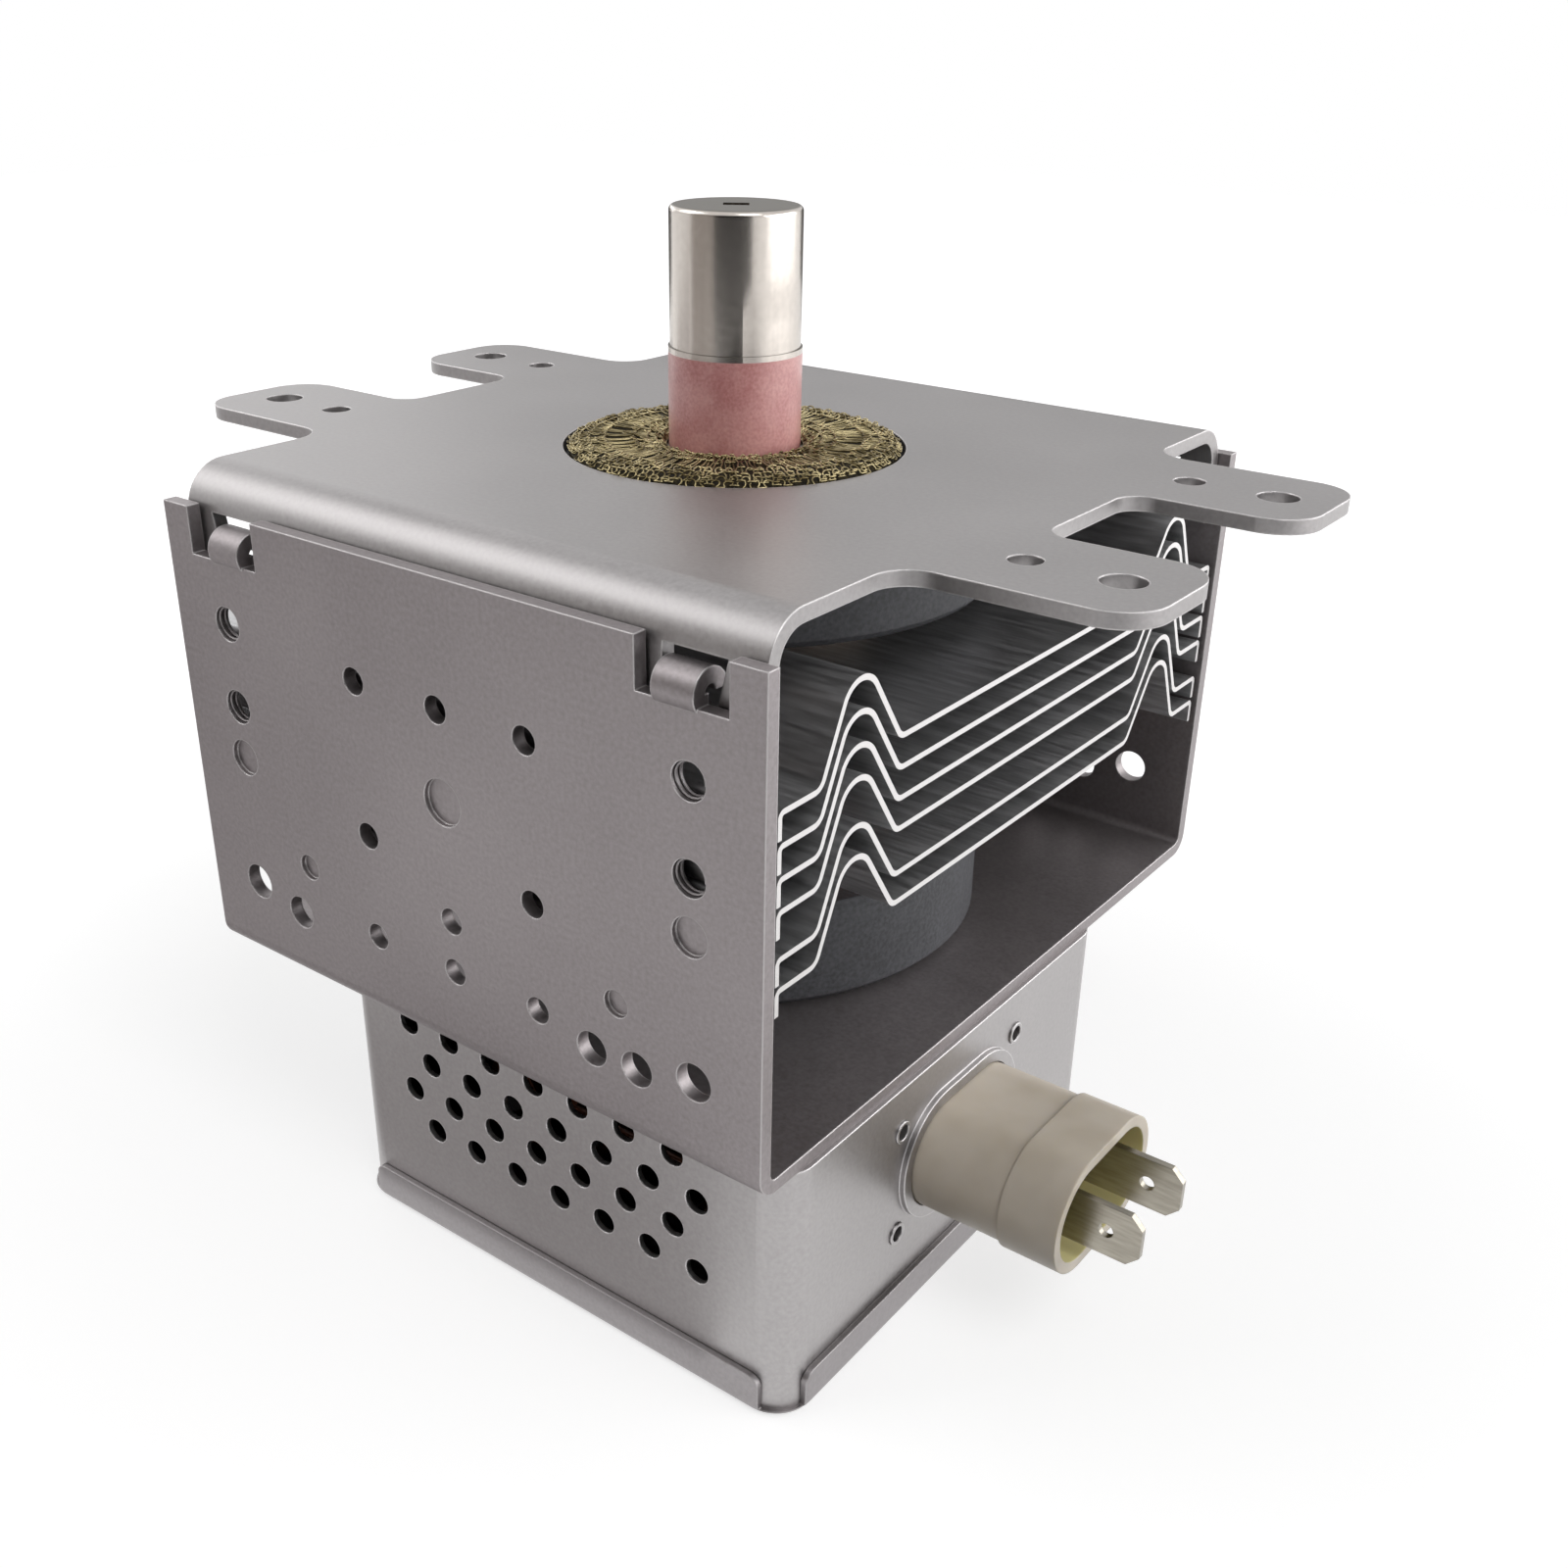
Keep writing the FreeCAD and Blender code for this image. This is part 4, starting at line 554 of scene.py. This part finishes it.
add(tree, "OutputMaterial", {"Surface": shader})
dress(tinned, "terminal_1", "terminal_2")

# Floor: a plain sheet of white paper under the part. To the camera and in reflections it is lifted to the
# background's white, but less near the part, where the camera sees the shadow. It lights the part little.
FLOOR_HALF = 1.2
FLOOR_HEIGHT = cad_box[0][2]
LIFT_FAR = 0.79
LIFT_NEAR = 0.60
SHADOW_FROM = 0.10
SHADOW_TO = 0.26


def new_sheet(name, corners, material):
    """A flat sheet of the studio, which isn't part of the object."""
    mesh = bpy.data.meshes.new(name)
    mesh.from_pydata(corners, [], [(0, 1, 2, 3)])
    mesh.materials.append(material)
    sheet = bpy.data.objects.new(name, mesh)
    bpy.context.scene.collection.objects.link(sheet)
    return sheet


def shown_or_mirrored(tree, rays):
    """1 for rays from the camera, a reflection or glass, and 0 for rays that only carry light."""
    either = add(tree, "Math", {0: rays.outputs["Is Camera Ray"], 1: rays.outputs["Is Glossy Ray"]},
                 operation="MAXIMUM")
    return add(tree, "Math", {0: either, 1: rays.outputs["Is Transmission Ray"]}, operation="MAXIMUM")


paper, tree = new_material("white paper floor")
rays = add(tree, "LightPath")
shown = shown_or_mirrored(tree, rays)
colour = add(tree, "Mix", {"Factor": shown}, data_type="RGBA")
colour.inputs[COLOUR_A].default_value = linear("#6E6E6E")
colour.inputs[COLOUR_B].default_value = linear("#C0C0C0")
place = add(tree, "TexCoord").outputs["Object"]
away = add(tree, "VectorMath", {0: place}, operation="LENGTH").outputs["Value"]
seen_lift = add(tree, "MapRange", {"Value": away}, From_Min=SHADOW_FROM, From_Max=SHADOW_TO,
                To_Min=LIFT_NEAR, To_Max=LIFT_FAR, interpolation_type="SMOOTHSTEP")
other_lift = add(tree, "MapRange", {"Value": shown}, To_Min=0.0, To_Max=LIFT_FAR)
lift = add(tree, "Mix", {"Factor": rays.outputs["Is Camera Ray"], "A": other_lift, "B": seen_lift},
           data_type="FLOAT")
shader = add(tree, "BsdfPrincipled", {"Base Color": colour.outputs[COLOUR_OUT], "Emission Strength": lift},
             Roughness=0.9, Specular_IOR_Level=0.1, Emission_Color=(1, 1, 1, 1))
add(tree, "OutputMaterial", {"Surface": shader})
new_sheet("floor", [(-FLOOR_HALF, -FLOOR_HALF, FLOOR_HEIGHT), (FLOOR_HALF, -FLOOR_HALF, FLOOR_HEIGHT),
                    (FLOOR_HALF, FLOOR_HALF, FLOOR_HEIGHT), (-FLOOR_HALF, FLOOR_HALF, FLOOR_HEIGHT)], paper)

# World: an even white surround to the camera and in reflections. As a light it is dimmer, so that the lamps
# can model the shapes.
world = bpy.data.worlds.new("studio")
bpy.context.scene.world = world
world.use_nodes = True
tree = world.node_tree
tree.nodes.clear()
shown = shown_or_mirrored(tree, add(tree, "LightPath"))
strength = add(tree, "MapRange", {"Value": shown}, To_Min=0.30, To_Max=1.0)
sky = add(tree, "Background", {"Strength": strength}, Color=(1, 1, 1, 1))
add(tree, "OutputWorld", {"Surface": sky})

# Lamps: four soft boxes that face the part. A large one low at the right lights the open end, a weaker one
# stands low behind at the left, one high at the left draws the bright line along the plate's fold, and a
# small one hangs high in front.
AIM = Vector((0, 0, -0.03))


def softbox(name, at, width, height, radiance):
    """An area lamp that faces the part's middle. Its power follows from the radiance that it shows."""
    lamp = bpy.data.lights.new(name, "AREA")
    lamp.shape = "RECTANGLE"
    lamp.size = width
    lamp.size_y = height
    lamp.energy = radiance * math.pi * width * height
    holder = bpy.data.objects.new(name, lamp)
    holder.location = at
    holder.rotation_euler = (AIM - Vector(at)).to_track_quat("-Z", "Y").to_euler()
    holder.visible_camera = False
    bpy.context.scene.collection.objects.link(holder)


softbox("right side", (0.81, 0.60, 0.14), 1.3, 0.8, 3.0)
softbox("left behind", (-1.10, 0.45, 0.22), 0.8, 0.45, 1.3)
softbox("left high", (-0.70, -0.40, 0.62), 0.8, 0.6, 2.2)
softbox("front high", (0.62, -0.26, 0.84), 0.5, 0.5, 3.8)

# Cards: sheets of matt paper, which only reflections show. A black one and a grey one in front give the cap
# its dark side, one behind calms its crown, and two pale ones, flat on the floor at the left, tone the near
# walls down towards their left ends.


def card(name, code, corners):
    """A matt card of an even tone, which only reflections show."""
    matt, tree = new_material(name)
    shader = add(tree, "BsdfPrincipled", Base_Color=(0, 0, 0, 1), Specular_IOR_Level=0.0,
                 Emission_Color=linear(code), Emission_Strength=1.0)
    add(tree, "OutputMaterial", {"Surface": shader})
    sheet = new_sheet(name, corners, matt)
    sheet.visible_camera = False
    sheet.visible_shadow = False
    sheet.visible_diffuse = False


def upright(around, away, width, top):
    """The corners of a card that stands on the floor and faces the axis from a bearing in degrees."""
    out = Vector((math.cos(math.radians(around)), math.sin(math.radians(around)), 0.0))
    aside = Vector((-out.y, out.x, 0.0)) * width / 2
    foot = out * away + Vector((0.0, 0.0, FLOOR_HEIGHT))
    head = out * away + Vector((0.0, 0.0, top))
    return [foot - aside, foot + aside, head + aside, head - aside]


def lying(height, *corners):
    """The corners of a card that lies level, so high above the floor."""
    return [(x, y, FLOOR_HEIGHT + height) for x, y in corners]


card("black card in front", "#0B0A0A", upright(-60, 0.42, 0.60, 0.27))
card("grey card in front", "#A8A29E", upright(-112, 0.42, 0.34, 0.25))
card("dark card behind", "#2E2C2B", upright(128, 0.60, 0.90, 0.11))
card("pale card on the floor", "#CCC8C8",
     lying(1.0 * MM, (-0.60, -0.46), (-0.50, -0.46), (-0.045, -0.06), (-0.60, -0.06)))
card("grey card by the box", "#C0BCBC",
     lying(2.0 * MM, (-0.14, -0.09), (0.00, -0.09), (0.03, -0.046), (-0.14, -0.046)))

# Camera: where the photograph was taken from, matched to the holes and corners of the real part. The lens
# and its shift are what the photograph's framing needs.
camera_data = bpy.data.cameras.new("camera")
camera_data.sensor_width = 36.0
camera_data.lens = 38.42
camera_data.shift_x = 0.01572
camera_data.shift_y = 0.02186
camera_data.clip_start = 0.01
camera = bpy.data.objects.new("camera", camera_data)
camera.matrix_world = Matrix((
    (0.79680, -0.27583, 0.53761, 0.11603),
    (0.60411, 0.34528, -0.71822, -0.14937),
    (0.01248, 0.89705, 0.44175, 0.04569),
    (0.0, 0.0, 0.0, 1.0),
))
bpy.context.scene.collection.objects.link(camera)
bpy.context.scene.camera = camera
bpy.context.scene.view_settings.view_transform = "Standard"
